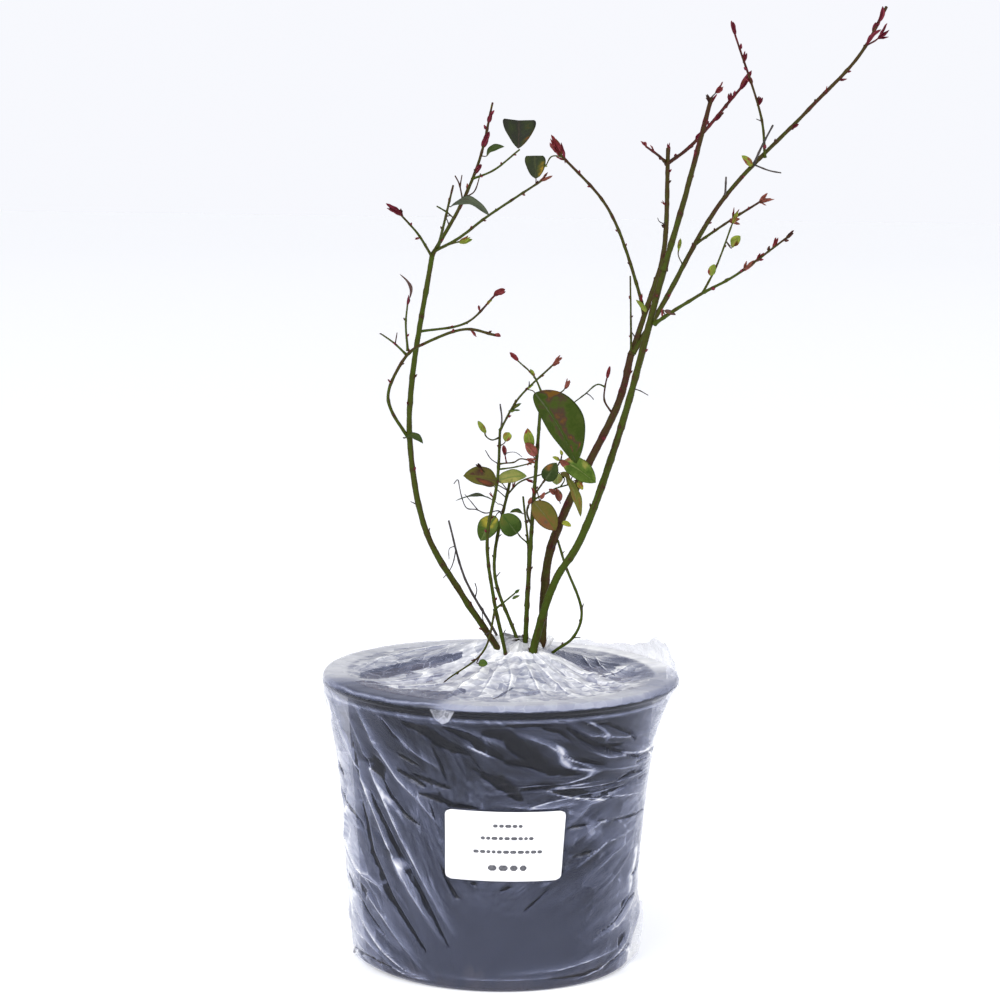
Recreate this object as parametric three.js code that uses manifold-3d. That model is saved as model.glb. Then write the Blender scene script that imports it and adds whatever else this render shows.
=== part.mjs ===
// A young highbush blueberry, nearly bare, in a round nursery pot. The pot is wrapped
// for delivery in clear film, which closes over the compost and gathers round the canes.
// Millimetres, +Z up. The origin is the centre of the pot's underside, the plant faces -Y.

import * as THREE from 'three';
import { mergeVertices } from 'three/addons/utils/BufferGeometryUtils.js';
import Module from 'manifold-3d';

const wasm = await Module();
wasm.setup();

// Clearance between pieces that touch.
const GAP = 0.3;

// Three-litre pot: a tapered wall under a rolled lip.
const POT_HEIGHT = 156;
const LIP_RADIUS = 95;
const LIP_ROLL = 2.5;
const WALL_TOP_RADIUS = 83;
const WALL_FOOT_RADIUS = 71;
const WALL = 1.5;
const FLOOR = 2;
const FOOT_BEVEL = 2.5;
const POT_SIDES = 36;

// Drainage holes in a ring round the floor of the pot.
const DRAIN_COUNT = 8;
const DRAIN_RADIUS = 5;
const DRAIN_RING_RADIUS = 54;

// Compost, filled to just under the lip.
const COMPOST_TOP = 147;

// Film, drawn thicker than it is, and the mouth where it closes round the canes.
const FILM = 0.5;
const FILM_FOOT = 1;
const SLEEVE_ROWS = 7;
const TOP_ROWS = 9;
const MOUTH = { x: 11, y: -1, halfWidth: 19, halfDepth: 15, height: 165 };

// Paper label on the front of the film.
const LABEL = { width: 61, height: 37.5, thickness: 0.3, x: 3.5, z: 80, turn: 0.02, corner: 3 };

const COLOURS = {
  pot: 0x24262a,
  compost: 0x4a3b30,
  film: 0xc9cedb,
  label: 0xf4f4f4,
  green: 0x4c5e2a,
  brown: 0x6a4632,
  red: 0x8a3a36,
  dead: 0x6b5444,
  leaf: 0x4f6b2c,
  autumn: 0x7c4a2e,
};

const lerp = THREE.MathUtils.lerp;

// The rolled lip's round edge lies on this ring.
const LIP_MIDDLE = { r: LIP_RADIUS - LIP_ROLL, z: POT_HEIGHT - LIP_ROLL };

// Inside the lip's inner edge the film is free to sag.
const TENT_RADIUS = WALL_TOP_RADIUS - WALL - 2 * GAP;

// Outer radius of the pot's wall at a height.
const wallRadius = (z) => lerp(WALL_FOOT_RADIUS, WALL_TOP_RADIUS, z / POT_HEIGHT);

function material(colour, roughness = 0.7, extra = {}) {
  return new THREE.MeshStandardMaterial({ color: colour, roughness, metalness: 0, ...extra });
}

function named(name, geometry, meshMaterial) {
  const mesh = new THREE.Mesh(geometry, meshMaterial);
  mesh.name = name;
  return mesh;
}

// A closed geometry as a solid that can be cut.
function solidOf(geometry) {
  const bare = geometry.clone();
  bare.deleteAttribute('normal');
  bare.deleteAttribute('uv');
  const merged = mergeVertices(bare, 1e-4);
  return new wasm.Manifold(new wasm.Mesh({
    numProp: 3,
    vertProperties: new Float32Array(merged.attributes.position.array),
    triVerts: new Uint32Array(merged.index.array),
  }));
}

// The largest body of a cut solid, as a geometry again: a cut may leave a loose scrap.
function geometryOf(solid) {
  const bodies = solid.decompose();
  const body = bodies.reduce((a, b) => (b.volume() > a.volume() ? b : a));
  const mesh = body.getMesh();
  const geometry = new THREE.BufferGeometry();
  geometry.setAttribute('position', new THREE.BufferAttribute(mesh.vertProperties, 3));
  geometry.setIndex(new THREE.BufferAttribute(mesh.triVerts, 1));
  geometry.computeVertexNormals();
  return geometry;
}

function geometryFrom(points, triangles) {
  const geometry = new THREE.BufferGeometry();
  geometry.setAttribute('position', new THREE.Float32BufferAttribute(points.flat(), 3));
  geometry.setIndex(triangles);
  geometry.computeVertexNormals();
  return geometry;
}

// ---------------------------------------------------------------- pot and compost

function potGeometry() {
  const lipFoot = POT_HEIGHT - 2 * LIP_ROLL;
  const innerTop = WALL_TOP_RADIUS - WALL;
  const lip = [-90, -45, 0, 30, 60, 90].map((degrees) => {
    const turn = THREE.MathUtils.degToRad(degrees);
    return [LIP_MIDDLE.r + LIP_ROLL * Math.cos(turn), LIP_MIDDLE.z + LIP_ROLL * Math.sin(turn)];
  });
  const profile = [
    [0, 0],
    [WALL_FOOT_RADIUS - FOOT_BEVEL, 0],
    [WALL_FOOT_RADIUS, FOOT_BEVEL],
    [wallRadius(lipFoot), lipFoot],
    ...lip,
    [innerTop + 1, POT_HEIGHT],
    [innerTop, POT_HEIGHT - 1],
    [WALL_FOOT_RADIUS - WALL, FLOOR + 2],
    [WALL_FOOT_RADIUS - WALL - 2, FLOOR],
    [0, FLOOR],
  ];
  const points = profile.map(([r, z]) => new THREE.Vector2(r, z));
  let pot = solidOf(new THREE.LatheGeometry(points, POT_SIDES).rotateX(Math.PI / 2));
  for (let i = 0; i < DRAIN_COUNT; i += 1) {
    const turn = (i / DRAIN_COUNT) * 2 * Math.PI;
    const drain = new THREE.CylinderGeometry(DRAIN_RADIUS, DRAIN_RADIUS, 4 * FLOOR, 12);
    drain.rotateX(Math.PI / 2);
    drain.translate(DRAIN_RING_RADIUS * Math.cos(turn), DRAIN_RING_RADIUS * Math.sin(turn), 0);
    pot = pot.subtract(solidOf(drain));
  }
  return geometryOf(pot);
}

function compostGeometry() {
  const floor = FLOOR + GAP;
  const profile = [
    [0, floor],
    [WALL_FOOT_RADIUS - WALL - 2 - GAP, floor],
    [wallRadius(10) - WALL - 2 * GAP, 10],
    [wallRadius(COMPOST_TOP) - WALL - 2 * GAP, COMPOST_TOP],
    [0, COMPOST_TOP],
  ];
  const points = profile.map(([r, z]) => new THREE.Vector2(r, z));
  return new THREE.LatheGeometry(points, POT_SIDES).rotateX(Math.PI / 2);
}

// ---------------------------------------------------------------- film and label

// A thin closed skin under a surface, given as a function of two numbers from 0 to 1.
// It is open along its four edges, or runs right round the pot when it wraps.
function skinGeometry(surface, columns, rows, thickness, wraps) {
  const step = 1e-3;
  const points = [];
  const last = wraps ? columns : columns + 1;
  for (const depth of [0, thickness]) {
    for (let i = 0; i <= rows; i += 1) {
      for (let j = 0; j < last; j += 1) {
        const u = i / rows;
        const v = j / columns;
        const here = surface(u, v);
        const along = surface(u + step, v).sub(surface(u - step, v));
        const across = surface(u, v + step).sub(surface(u, v - step));
        const normal = across.cross(along).normalize();
        points.push(here.addScaledVector(normal, -depth).toArray());
      }
    }
  }
  const under = (rows + 1) * last;
  const at = (i, j, side) => side * under + i * last + (j % last);
  const triangles = [];
  const quad = (a, b, c, d) => triangles.push(a, b, c, a, c, d);
  for (let j = 0; j < columns; j += 1) {
    for (let i = 0; i < rows; i += 1) {
      quad(at(i, j, 0), at(i, j + 1, 0), at(i + 1, j + 1, 0), at(i + 1, j, 0));
      quad(at(i + 1, j, 1), at(i + 1, j + 1, 1), at(i, j + 1, 1), at(i, j, 1));
    }
    quad(at(0, j + 1, 0), at(0, j, 0), at(0, j, 1), at(0, j + 1, 1));
    quad(at(rows, j, 0), at(rows, j + 1, 0), at(rows, j + 1, 1), at(rows, j, 1));
  }
  if (!wraps) {
    for (let i = 0; i < rows; i += 1) {
      quad(at(i, 0, 0), at(i + 1, 0, 0), at(i + 1, 0, 1), at(i, 0, 1));
      quad(at(i + 1, columns, 0), at(i, columns, 0), at(i, columns, 1), at(i + 1, columns, 1));
    }
  }
  return geometryFrom(points, triangles);
}

// How far the film stands off the wall: it hangs from the lip and closes in further down. On the
// left it stays off the wall to the foot, and low on the right a corner of the bag stands out.
function filmStandOff(z, angle) {
  const lipStep = LIP_RADIUS - wallRadius(LIP_MIDDLE.z);
  const drop = LIP_MIDDLE.z - z;
  const left = (0.5 - 0.5 * Math.cos(angle)) ** 4;
  const loose = 5.8 * left * (1 - Math.exp(-z / 3));
  const tent = (lipStep - loose) * Math.exp(-drop / lerp(20, 26, left));
  const corner = 4 * Math.exp(-((angle - 0.08) ** 2) / 0.03 - ((z - 24) ** 2) / (12 * 12));
  return loose + tent + corner;
}

function sleeveSurface(u, v) {
  const angle = (v - 0.5) * 2 * Math.PI + Math.PI / 2;
  const z = lerp(FILM_FOOT, LIP_MIDDLE.z - GAP, u);
  const facing = Math.atan2(Math.sin(angle), Math.cos(angle));
  const off = Math.max(filmStandOff(z, facing), filmStandOff(z, facing + 2 * Math.PI));
  const r = wallRadius(z) + off + GAP + FILM;
  return new THREE.Vector3(r * Math.cos(angle), r * Math.sin(angle), z);
}

// The film over the compost, from the canes (u = 0) to the lip, and over that (u = 1). It sags
// on the left, is a straight cone at the front, and is drawn up behind the canes.
function topSurface(u, v) {
  const angle = v * 2 * Math.PI;
  const cos = Math.cos(angle);
  const sin = Math.sin(angle);
  const edge = 5 / 9;
  const over = 6 / 9;
  const roll = LIP_ROLL + GAP + FILM;
  if (u > edge) {
    const flat = Math.min((u - edge) / (over - edge), 1);
    const turn = (Math.max(u - over, 0) / (1 - over)) * (Math.PI / 2);
    const r = lerp(TENT_RADIUS, LIP_MIDDLE.r, flat) + roll * Math.sin(turn);
    return new THREE.Vector3(r * cos, r * sin, LIP_MIDDLE.z + roll * Math.cos(turn));
  }
  const out = u / edge;
  const mouth = new THREE.Vector3(
    MOUTH.x + MOUTH.halfWidth * cos,
    MOUTH.y + MOUTH.halfDepth * sin,
    MOUTH.height + 6 * Math.max(0, sin) ** 2,
  );
  const lip = new THREE.Vector3(TENT_RADIUS * cos, TENT_RADIUS * sin, LIP_MIDDLE.z + roll);
  const front = Math.max(0, -sin) ** 2;
  const backRight = Math.max(0, Math.cos(angle - 0.9)) ** 6;
  const backLeft = Math.max(0, Math.cos(angle - 2.2)) ** 4;
  const sag = lerp(8, 3.5, front) - 5 * backRight - 6 * backLeft;
  const point = mouth.lerp(lip, out);
  point.z -= sag * Math.sin(Math.PI * out);
  return point;
}

// The label, bent to the front of the film and turned a little.
function labelSurface(u, v) {
  const up = (u - 0.5) * LABEL.height;
  const past = Math.max(0, Math.abs(up) - LABEL.height / 2 + LABEL.corner);
  const inset = LABEL.corner - Math.sqrt(Math.max(0, LABEL.corner ** 2 - past ** 2));
  const right = (v - 0.5) * (LABEL.width - 2 * inset);
  const x = LABEL.x + right * Math.cos(LABEL.turn) + up * Math.sin(LABEL.turn);
  const z = LABEL.z + up * Math.cos(LABEL.turn) - right * Math.sin(LABEL.turn);
  const angle = -Math.PI / 2 + x / wallRadius(LABEL.z);
  const r = wallRadius(z) + filmStandOff(z, angle) + 2 * GAP + FILM + LABEL.thickness;
  return new THREE.Vector3(r * Math.cos(angle), r * Math.sin(angle), z);
}

// ---------------------------------------------------------------- canes

// A tapering limb along a smooth line, closed at both ends. A limb that starts in the ground
// is cut level there and flares at its foot. Grown is added to the radius and to both ends.
function limbGeometry(limb, grown = 0) {
  const curve = new THREE.CatmullRomCurve3(limb.route.map((p) => new THREE.Vector3(...p)));
  const length = curve.getLength();
  const sides = limb.start > 1.2 ? 8 : 5;
  const steps = Math.max(2, Math.round(length / 14));
  const frames = curve.computeFrenetFrames(steps, false);
  const points = [];
  for (let i = 0; i <= steps; i += 1) {
    const t = i / steps;
    const centre = curve.getPointAt(t);
    const along = frames.tangents[i];
    const flare = limb.grounded ? 0.35 * Math.exp((-t * length) / 8) : 0;
    const radius = lerp(limb.start, limb.end, t) * (1 + flare) + grown;
    const end = i === 0 ? -grown : Number(i === steps) * grown;
    centre.addScaledVector(along, end);
    for (let j = 0; j < sides; j += 1) {
      const turn = (j / sides) * 2 * Math.PI;
      const point = centre.clone();
      point.addScaledVector(frames.normals[i], radius * Math.cos(turn));
      point.addScaledVector(frames.binormals[i], radius * Math.sin(turn));
      if (i === 0 && limb.grounded) {
        point.addScaledVector(along, (limb.route[0][2] - point.z) / along.z);
      }
      points.push(point.toArray());
    }
  }
  const triangles = [];
  for (let i = 0; i < steps; i += 1) {
    for (let j = 0; j < sides; j += 1) {
      const a = i * sides + j;
      const b = i * sides + ((j + 1) % sides);
      triangles.push(a, b, b + sides, a, b + sides, a + sides);
    }
  }
  const top = steps * sides;
  for (let j = 1; j < sides - 1; j += 1) {
    triangles.push(0, j + 1, j, top, top + j, top + j + 1);
  }
  return geometryFrom(points, triangles);
}

const GROUND = COMPOST_TOP + GAP;

// Each limb: name, colour, radius at its start and end, and the places it runs through.
// A limb that begins on another one starts on that one's middle line.
const LIMBS = [
  // The left cane: it leans out from the foot, turns upright and forks below its top.
  ['left_cane', 'green', 1.8, 1.3, [[8, -4, GROUND], [-1, -4, 168], [-21, -8, 199], [-40, -14, 233],
    [-49, -22, 281], [-48, -29, 316], [-38, -38, 381]]],
  ['left_cane_top', 'red', 1.1, 0.8, [[-38, -38, 381], [-23, -35, 408], [-14, -32, 431], [-8, -28, 459]]],
  ['left_cane_reach', 'green', 0.8, 0.6, [[-37, -38, 383], [-25, -26, 389], [-10, -12, 400],
    [18, 12, 418]]],
  ['left_cane_spur', 'green', 0.7, 0.5, [[-38, -38, 380], [-45, -48, 392], [-54, -62, 403]]],
  ['left_cane_prong', 'green', 0.8, 0.5, [[-35, -38, 385], [-32, -54, 397], [-27, -76, 418]]],
  ['left_cane_blade', 'green', 0.6, 0.45, [[-18, -33, 420], [-7, -46, 425], [6, -62, 436]]],
  ['left_low_bough', 'green', 0.9, 0.7, [[-49, -22, 283], [-59, -28, 300], [-60, -34, 310],
    [-50, -42, 330], [-40, -50, 337], [-20, -62, 345], [-5, -72, 343]]],
  ['left_low_shoot', 'green', 0.65, 0.45, [[-50, -42, 332], [-51, -47, 346], [-50, -52, 357]]],
  ['left_low_spur', 'green', 0.6, 0.4, [[-51, -41, 330], [-57, -36, 335], [-64, -28, 339]]],
  ['left_mid_bough', 'green', 0.7, 0.55, [[-45, -33, 341], [-20, -18, 345], [-5, -4, 359]]],
  // The thin canes between the two main clumps.
  ['dead_cane', 'dead', 0.8, 0.55, [[5, 4, GROUND], [1, 4, 168], [-20, 12, 205], [-29, 18, 235]]],
  ['middle_cane', 'green', 1.0, 0.7, [[6, -9, GROUND], [2, -9, 170], [-4, -12, 197], [-8, -16, 230],
    [-3, -24, 263], [-2, -31, 290]]],
  ['middle_cane_top', 'green', 0.6, 0.5, [[-2, -31, 290], [7, -38, 307], [25, -54, 327]]],
  ['cut_cane', 'green', 1.0, 0.8, [[10, 5, GROUND], [10, 4, 168], [-4, 14, 208], [4, 29, 257]]],
  ['cut_cane_twig', 'green', 0.5, 0.4, [[2, 26, 248], [9, 36, 254], [22, 50, 257]]],
  ['fine_cane', 'green', 1.2, 0.7, [[13, 0, GROUND], [13, -1, 168], [15, 2, 222], [20, 20, 305]]],
  ['fine_cane_tip', 'green', 0.55, 0.4, [[20, 20, 305], [16, 24, 313], [7, 30, 321]]],
  ['fine_cane_twin', 'green', 0.7, 0.55, [[13, 0, 192], [14, 12, 220], [11, 30, 247]]],
  ['fine_cane_hook', 'brown', 0.6, 0.5, [[16, 4, 234], [13, -5, 245], [22, -12, 262]]],
  // The back cane: it forks into an upright stem, an arching shoot and a long reach.
  ['back_cane', 'brown', 2.2, 1.6, [[21, 4, GROUND], [23, 10, 194], [25, 15, 216], [34, 24, 241],
    [63, 45, 299], [69, 52, 323]]],
  ['back_upright', 'brown', 1.3, 1.0, [[69, 52, 323], [78, 58, 350], [86, 62, 377], [88, 70, 435]]],
  ['back_upright_spur', 'red', 0.8, 0.6, [[86, 69, 428], [81, 60, 432], [75, 52, 436]]],
  ['back_upright_shoot', 'red', 0.95, 0.7, [[87, 69, 426], [101, 82, 436], [130, 110, 468]]],
  ['back_thin_shoot', 'green', 0.65, 0.45, [[69, 52, 325], [68, 42, 348], [67, 34, 367]]],
  ['back_arch', 'green', 1.0, 0.7, [[76, 57, 344], [73, 64, 357], [56, 70, 401], [28, 56, 432]]],
  ['back_reach', 'green', 1.4, 0.8, [[70, 52, 324], [85, 60, 348], [119, 84, 406], [167, 104, 456],
    [196, 112, 487], [211, 118, 514]]],
  ['back_reach_shoot', 'green', 0.75, 0.55, [[143, 94, 430], [140, 86, 451], [123, 70, 497]]],
  ['back_reach_bough', 'green', 0.75, 0.6, [[105, 75, 383], [123, 60, 397], [138, 46, 408]]],
  // The front cane: it crosses the back one and carries a slanted stem and a side bough.
  ['front_cane', 'green', 2.1, 1.6, [[14, -8, GROUND], [17, -7, 168], [28, -12, 207], [41, -15, 230],
    [60, -24, 287], [81, -40, 375]]],
  ['front_cane_top', 'green', 1.4, 1.0, [[81, -40, 375], [90, -48, 410], [102, -63, 463]]],
  ['front_bough', 'green', 1.05, 0.8, [[77, -36, 347], [87, -46, 355], [101, -56, 365]]],
  ['front_bough_right', 'green', 0.75, 0.5, [[101, -56, 365], [115, -68, 374], [141, -88, 396]]],
  ['front_bough_left', 'green', 0.6, 0.4, [[100, -55, 364], [107, -50, 377], [116, -40, 400]]],
  // Low growth at the foot: a looping stem, and a twig that lies out over the film.
  ['loop_cane', 'green', 0.75, 0.6, [[24, 9, GROUND], [26, 3, 164], [39, -1, 176], [43, -1, 189],
    [34, 10, 213], [30, 18, 225]]],
  ['low_twig', 'green', 0.65, 0.4, [[-3, -13, 194], [-9, -24, 172], [-28, -38, 159]]],
  ['low_twig_shoot', 'green', 0.55, 0.4, [[-4, -14, 192], [2, -20, 198], [7, -24, 203]]],
].map(([name, colour, start, end, route]) => (
  { name, colour, start, end, route, grounded: route[0][2] === GROUND }
));

// Every limb is cut clear of those placed before it.
function limbMeshes() {
  const placed = [];
  const meshes = [];
  for (const limb of LIMBS) {
    let solid = solidOf(limbGeometry(limb));
    for (const other of placed) {
      solid = solid.subtract(other);
    }
    placed.push(solidOf(limbGeometry(limb, GAP)));
    meshes.push(named(limb.name, geometryOf(solid), material(COLOURS[limb.colour], 0.65)));
  }
  return { placed, meshes };
}

// ---------------------------------------------------------------- leaf masses

// Each mass: name, colour, middle, half sizes, turn about Y, and a number that varies its lumps.
const MASSES = [
  ['leaves_low_left', 'leaf', [-4, -8, 249], [20, 15, 22], 0.2, 1],
  ['leaves_low_right', 'autumn', [32, 2, 242], [15, 13, 19], -0.3, 2],
  ['leaves_middle_right', 'leaf', [46, -8, 268], [13, 15, 11], 0.4, 3],
  ['leaf_large', 'leaf', [29, -43, 294], [12, 7, 30], -0.62, 4],
  ['leaves_top_left', 'leaf', [-14, -30, 415], [13, 12, 11], -0.5, 5],
  ['leaves_top_middle', 'leaf', [7, -58, 436], [10, 9, 9], 0.1, 6],
  ['leaves_top_tip', 'autumn', [19, 10, 423], [7, 8, 9], 0.1, 7],
  ['leaves_right', 'leaf', [117, -46, 388], [9, 8, 9], 0.2, 8],
];

// An uneven closed lump of foliage.
function massGeometry([, , middle, half, turn, vary]) {
  const lump = new THREE.IcosahedronGeometry(1, 2);
  const place = lump.attributes.position;
  const point = new THREE.Vector3();
  for (let i = 0; i < place.count; i += 1) {
    point.fromBufferAttribute(place, i);
    const wave = Math.sin(3 * point.x + vary) + Math.sin(4 * point.y + 2 * vary)
      + Math.sin(3.5 * point.z + 3 * vary);
    point.multiplyScalar(1 - 0.08 * (wave + 1));
    place.setXYZ(i, point.x, point.y, point.z);
  }
  lump.scale(...half);
  lump.rotateY(turn);
  lump.translate(...middle);
  return lump;
}

// The masses stop short of the limbs that run through them, and of each other.
function massMeshes(limbs) {
  const placed = [...limbs];
  return MASSES.map((mass) => {
    let solid = solidOf(massGeometry(mass));
    for (const other of placed) {
      solid = solid.subtract(other);
    }
    placed.push(solidOf(massGeometry(mass)));
    return named(mass[0], geometryOf(solid), material(COLOURS[mass[1]], 0.6));
  });
}

// ---------------------------------------------------------------- assembly

const filmMaterial = material(COLOURS.film, 0.2, { transparent: true, opacity: 0.35 });
const plant = new THREE.Group();
plant.add(named('pot', potGeometry(), material(COLOURS.pot, 0.5)));
plant.add(named('compost', compostGeometry(), material(COLOURS.compost, 0.95)));
const sleeve = skinGeometry(sleeveSurface, POT_SIDES, SLEEVE_ROWS, FILM, true);
const top = skinGeometry(topSurface, POT_SIDES, TOP_ROWS, FILM, true);
plant.add(named('film_sleeve', sleeve, filmMaterial));
plant.add(named('film_top', top, filmMaterial));
const labelGeometry = skinGeometry(labelSurface, 8, 8, LABEL.thickness, false);
plant.add(named('label', labelGeometry, material(COLOURS.label, 0.8)));

const limbs = limbMeshes();
plant.add(...limbs.meshes);
plant.add(...massMeshes(limbs.placed));

export default plant;
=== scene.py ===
"""A young highbush blueberry, nearly bare, in a round nursery pot that is wrapped in clear film.

Every shape is made in millimetres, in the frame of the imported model, and scaled to metres as it
becomes a mesh. The plant faces -Y, and angles round the pot are degrees from its front, to the right.
"""

import math

import bpy
import numpy as np
from mathutils import Matrix, Vector


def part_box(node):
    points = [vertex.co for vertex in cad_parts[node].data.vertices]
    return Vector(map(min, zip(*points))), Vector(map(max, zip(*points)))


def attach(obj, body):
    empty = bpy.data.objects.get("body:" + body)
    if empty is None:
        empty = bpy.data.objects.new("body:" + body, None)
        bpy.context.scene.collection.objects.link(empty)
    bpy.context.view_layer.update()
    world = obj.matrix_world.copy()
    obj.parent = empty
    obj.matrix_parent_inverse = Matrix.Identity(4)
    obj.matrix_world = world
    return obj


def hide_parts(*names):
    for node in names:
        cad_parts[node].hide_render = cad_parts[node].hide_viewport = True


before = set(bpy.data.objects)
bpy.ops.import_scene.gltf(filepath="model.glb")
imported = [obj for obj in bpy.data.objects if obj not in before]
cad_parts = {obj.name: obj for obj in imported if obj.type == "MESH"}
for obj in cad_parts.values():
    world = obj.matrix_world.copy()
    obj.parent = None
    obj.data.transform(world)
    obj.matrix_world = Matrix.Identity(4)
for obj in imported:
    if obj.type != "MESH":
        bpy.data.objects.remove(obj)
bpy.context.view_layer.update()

MM = 0.001
UP = np.array([0.0, 0.0, 1.0])


# ------------------------------------------------------------------ sizes, from the frame


def node_box(node):
    """Lowest and highest corner of a CAD node, in millimetres."""
    low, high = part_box(node)
    return np.array(low) / MM, np.array(high) / MM


POT_HEIGHT = node_box("pot")[1][2]
LIP_RADIUS = node_box("pot")[1][0]
COMPOST_TOP = node_box("compost")[1][2]
LIP_ROLL = 2.5
WALL_TOP_RADIUS = LIP_RADIUS - 12
WALL_FOOT_RADIUS = LIP_RADIUS - 24
WALL = 1.5
FLOOR = 2
FOOT_BEVEL = 2.5
DRAIN_COUNT = 8
DRAIN_RADIUS = 5
DRAIN_RING_RADIUS = 54
LIP_MIDDLE = np.array([LIP_RADIUS - LIP_ROLL, POT_HEIGHT - LIP_ROLL])
GROUND = COMPOST_TOP + 0.3
MOUTH = dict(x=11, y=-1, half_width=19, half_depth=15, height=165)
COMPOST_GAP = 0.6
TENT_RADIUS = WALL_TOP_RADIUS - WALL - COMPOST_GAP

# How far the film's outside is from the lip's middle, and from the wall, loose and clinging.
FILM_ROLL = LIP_ROLL + 0.35
FILM_OFF = 0.5
CLING_OFF = 0.12

LABEL = dict(width=61, height=37.5, thickness=0.3, x=3.5, z=80, turn=0.02, corner=3)

# The wall's radius half way up, and the millimetres of wall to a degree there.
MIDDLE_RADIUS = (WALL_TOP_RADIUS + WALL_FOOT_RADIUS) / 2
ARC = math.radians(1) * MIDDLE_RADIUS


def wall_radius(z):
    return WALL_FOOT_RADIUS + (WALL_TOP_RADIUS - WALL_FOOT_RADIUS) * z / POT_HEIGHT


# ------------------------------------------------------------------ numbers and lines


def noise(points, scale, seed):
    """Smooth noise from 0 to 1 at points (n, 3), with lumps of about that scale."""
    place = np.asarray(points, float) / scale
    cell = np.floor(place).astype(np.int64)
    part = place - cell
    part = part * part * (3 - 2 * part)
    total = np.zeros(len(place))
    for corner in np.ndindex(2, 2, 2):
        at = cell + corner
        mixed = (at[:, 0] * 73856093) ^ (at[:, 1] * 19349663) ^ (at[:, 2] * 83492791)
        mixed = (mixed ^ (seed * 7919)) * 1274126177
        value = ((mixed ^ (mixed >> 15)) & 0xFFFF) / 0xFFFF
        weight = np.prod(np.where(corner, part, 1 - part), axis=1)
        total += value * weight
    return total


def crease(points, scale, seed):
    """Noise that stands up in sharp creases: 1 on a crease, near 0 between them."""
    return 1 - np.abs(2 * noise(points, scale, seed) - 1)


def smooth_step(low, high, value):
    share = np.clip((value - low) / (high - low), 0, 1)
    return share * share * (3 - 2 * share)


def unit(vector):
    vector = np.asarray(vector, float)
    return vector / max(np.linalg.norm(vector), 1e-9)


def smooth_line(route, step):
    """Points a step apart on a centripetal Catmull-Rom line through the route, as in the CAD."""
    route = np.asarray(route, float)
    first = 2 * route[0] - route[1]
    last = 2 * route[-1] - route[-2]
    ends = np.vstack([first, route, last])
    fine = []
    for i in range(len(route) - 1):
        a, b, c, d = ends[i:i + 4]
        gap_0 = math.sqrt(np.linalg.norm(b - a))
        gap_1 = math.sqrt(np.linalg.norm(c - b))
        gap_2 = math.sqrt(np.linalg.norm(d - c))
        leave = (b - a) / gap_0 - (c - a) / (gap_0 + gap_1) + (c - b) / gap_1
        arrive = (c - b) / gap_1 - (d - b) / (gap_1 + gap_2) + (d - c) / gap_2
        leave = leave * gap_1
        arrive = arrive * gap_1
        t = np.linspace(0, 1, 40)[:, None]
        cubic = (2 * b - 2 * c + leave + arrive) * t ** 3
        square = (3 * c - 3 * b - 2 * leave - arrive) * t ** 2
        fine.append(cubic + square + leave * t + b)
    fine = np.vstack(fine)
    gaps = np.linalg.norm(np.diff(fine, axis=0), axis=1)
    fine = fine[np.append(True, gaps > 1e-9)]
    run = np.append(0, np.cumsum(np.linalg.norm(np.diff(fine, axis=0), axis=1)))
    count = max(int(round(run[-1] / step)), 2)
    wanted = np.linspace(0, run[-1], count + 1)
    return np.stack([np.interp(wanted, run, fine[:, k]) for k in range(3)], axis=1)


def frames_along(line):
    """Directions along, beside and over a line at each of its points, turning as little as they can."""
    along = np.gradient(line, axis=0)
    along /= np.linalg.norm(along, axis=1)[:, None]
    start = UP if abs(along[0][2]) < 0.8 else np.array([0.0, -1.0, 0.0])
    beside = [unit(np.cross(along[0], start))]
    for direction in along[1:]:
        kept = beside[-1] - direction * (beside[-1] @ direction)
        beside.append(unit(kept))
    beside = np.array(beside)
    return along, beside, np.cross(along, beside)


# ------------------------------------------------------------------ meshes


def all_round(count):
    """That many even angles from 0 to a whole turn."""
    return np.arange(count) / count * 2 * math.pi


def ring_of(turn, radius, z=0):
    """Places at those angles on a level circle."""
    return np.stack([radius * np.cos(turn), radius * np.sin(turn), 0 * turn + z], axis=1)


def add_object(name, data):
    made = bpy.data.objects.new(name, data)
    bpy.context.scene.collection.objects.link(made)
    return made


class Batch:
    """Points, faces, the material number of each face, and a tone at each point, for one mesh."""

    def __init__(self):
        self.points = []
        self.faces = []
        self.looks = []
        self.tone = []
        self.layers = {}
        self.count = 0

    def add(self, points, faces, look=0, tone=None, **layers):
        """look is one number or one for each face; each layer is a number for each point."""
        for name, values in layers.items():
            self.layers.setdefault(name, []).append(values)
        self.points.append(np.asarray(points, float))
        self.faces.append(np.asarray(faces, int) + self.count)
        self.looks.append(np.broadcast_to(look, len(faces)))
        self.tone.append(np.zeros(len(points)) if tone is None else tone)
        self.count += len(points)

    def object(self, name, materials, smooth=True):
        mesh = bpy.data.meshes.new(name)
        points = np.vstack(self.points) * MM
        sizes = np.concatenate([np.full(len(f), f.shape[1]) for f in self.faces])
        corners = np.concatenate([f.ravel() for f in self.faces])
        mesh.vertices.add(len(points))
        mesh.vertices.foreach_set("co", points.ravel())
        mesh.loops.add(len(corners))
        mesh.loops.foreach_set("vertex_index", corners)
        mesh.polygons.add(len(sizes))
        mesh.polygons.foreach_set("loop_start", np.append(0, np.cumsum(sizes)[:-1]))
        mesh.polygons.foreach_set("material_index", np.concatenate(self.looks))
        mesh.polygons.foreach_set("use_smooth", np.full(len(sizes), smooth))
        for layer_name, values in {"tone": self.tone, **self.layers}.items():
            layer = mesh.attributes.new(layer_name, "FLOAT", "POINT")
            layer.data.foreach_set("value", np.concatenate(values).astype(np.float32))
        mesh.update(calc_edges=True)
        mesh.validate()
        for material in materials:
            mesh.materials.append(material)
        return add_object(name, mesh)


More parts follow.
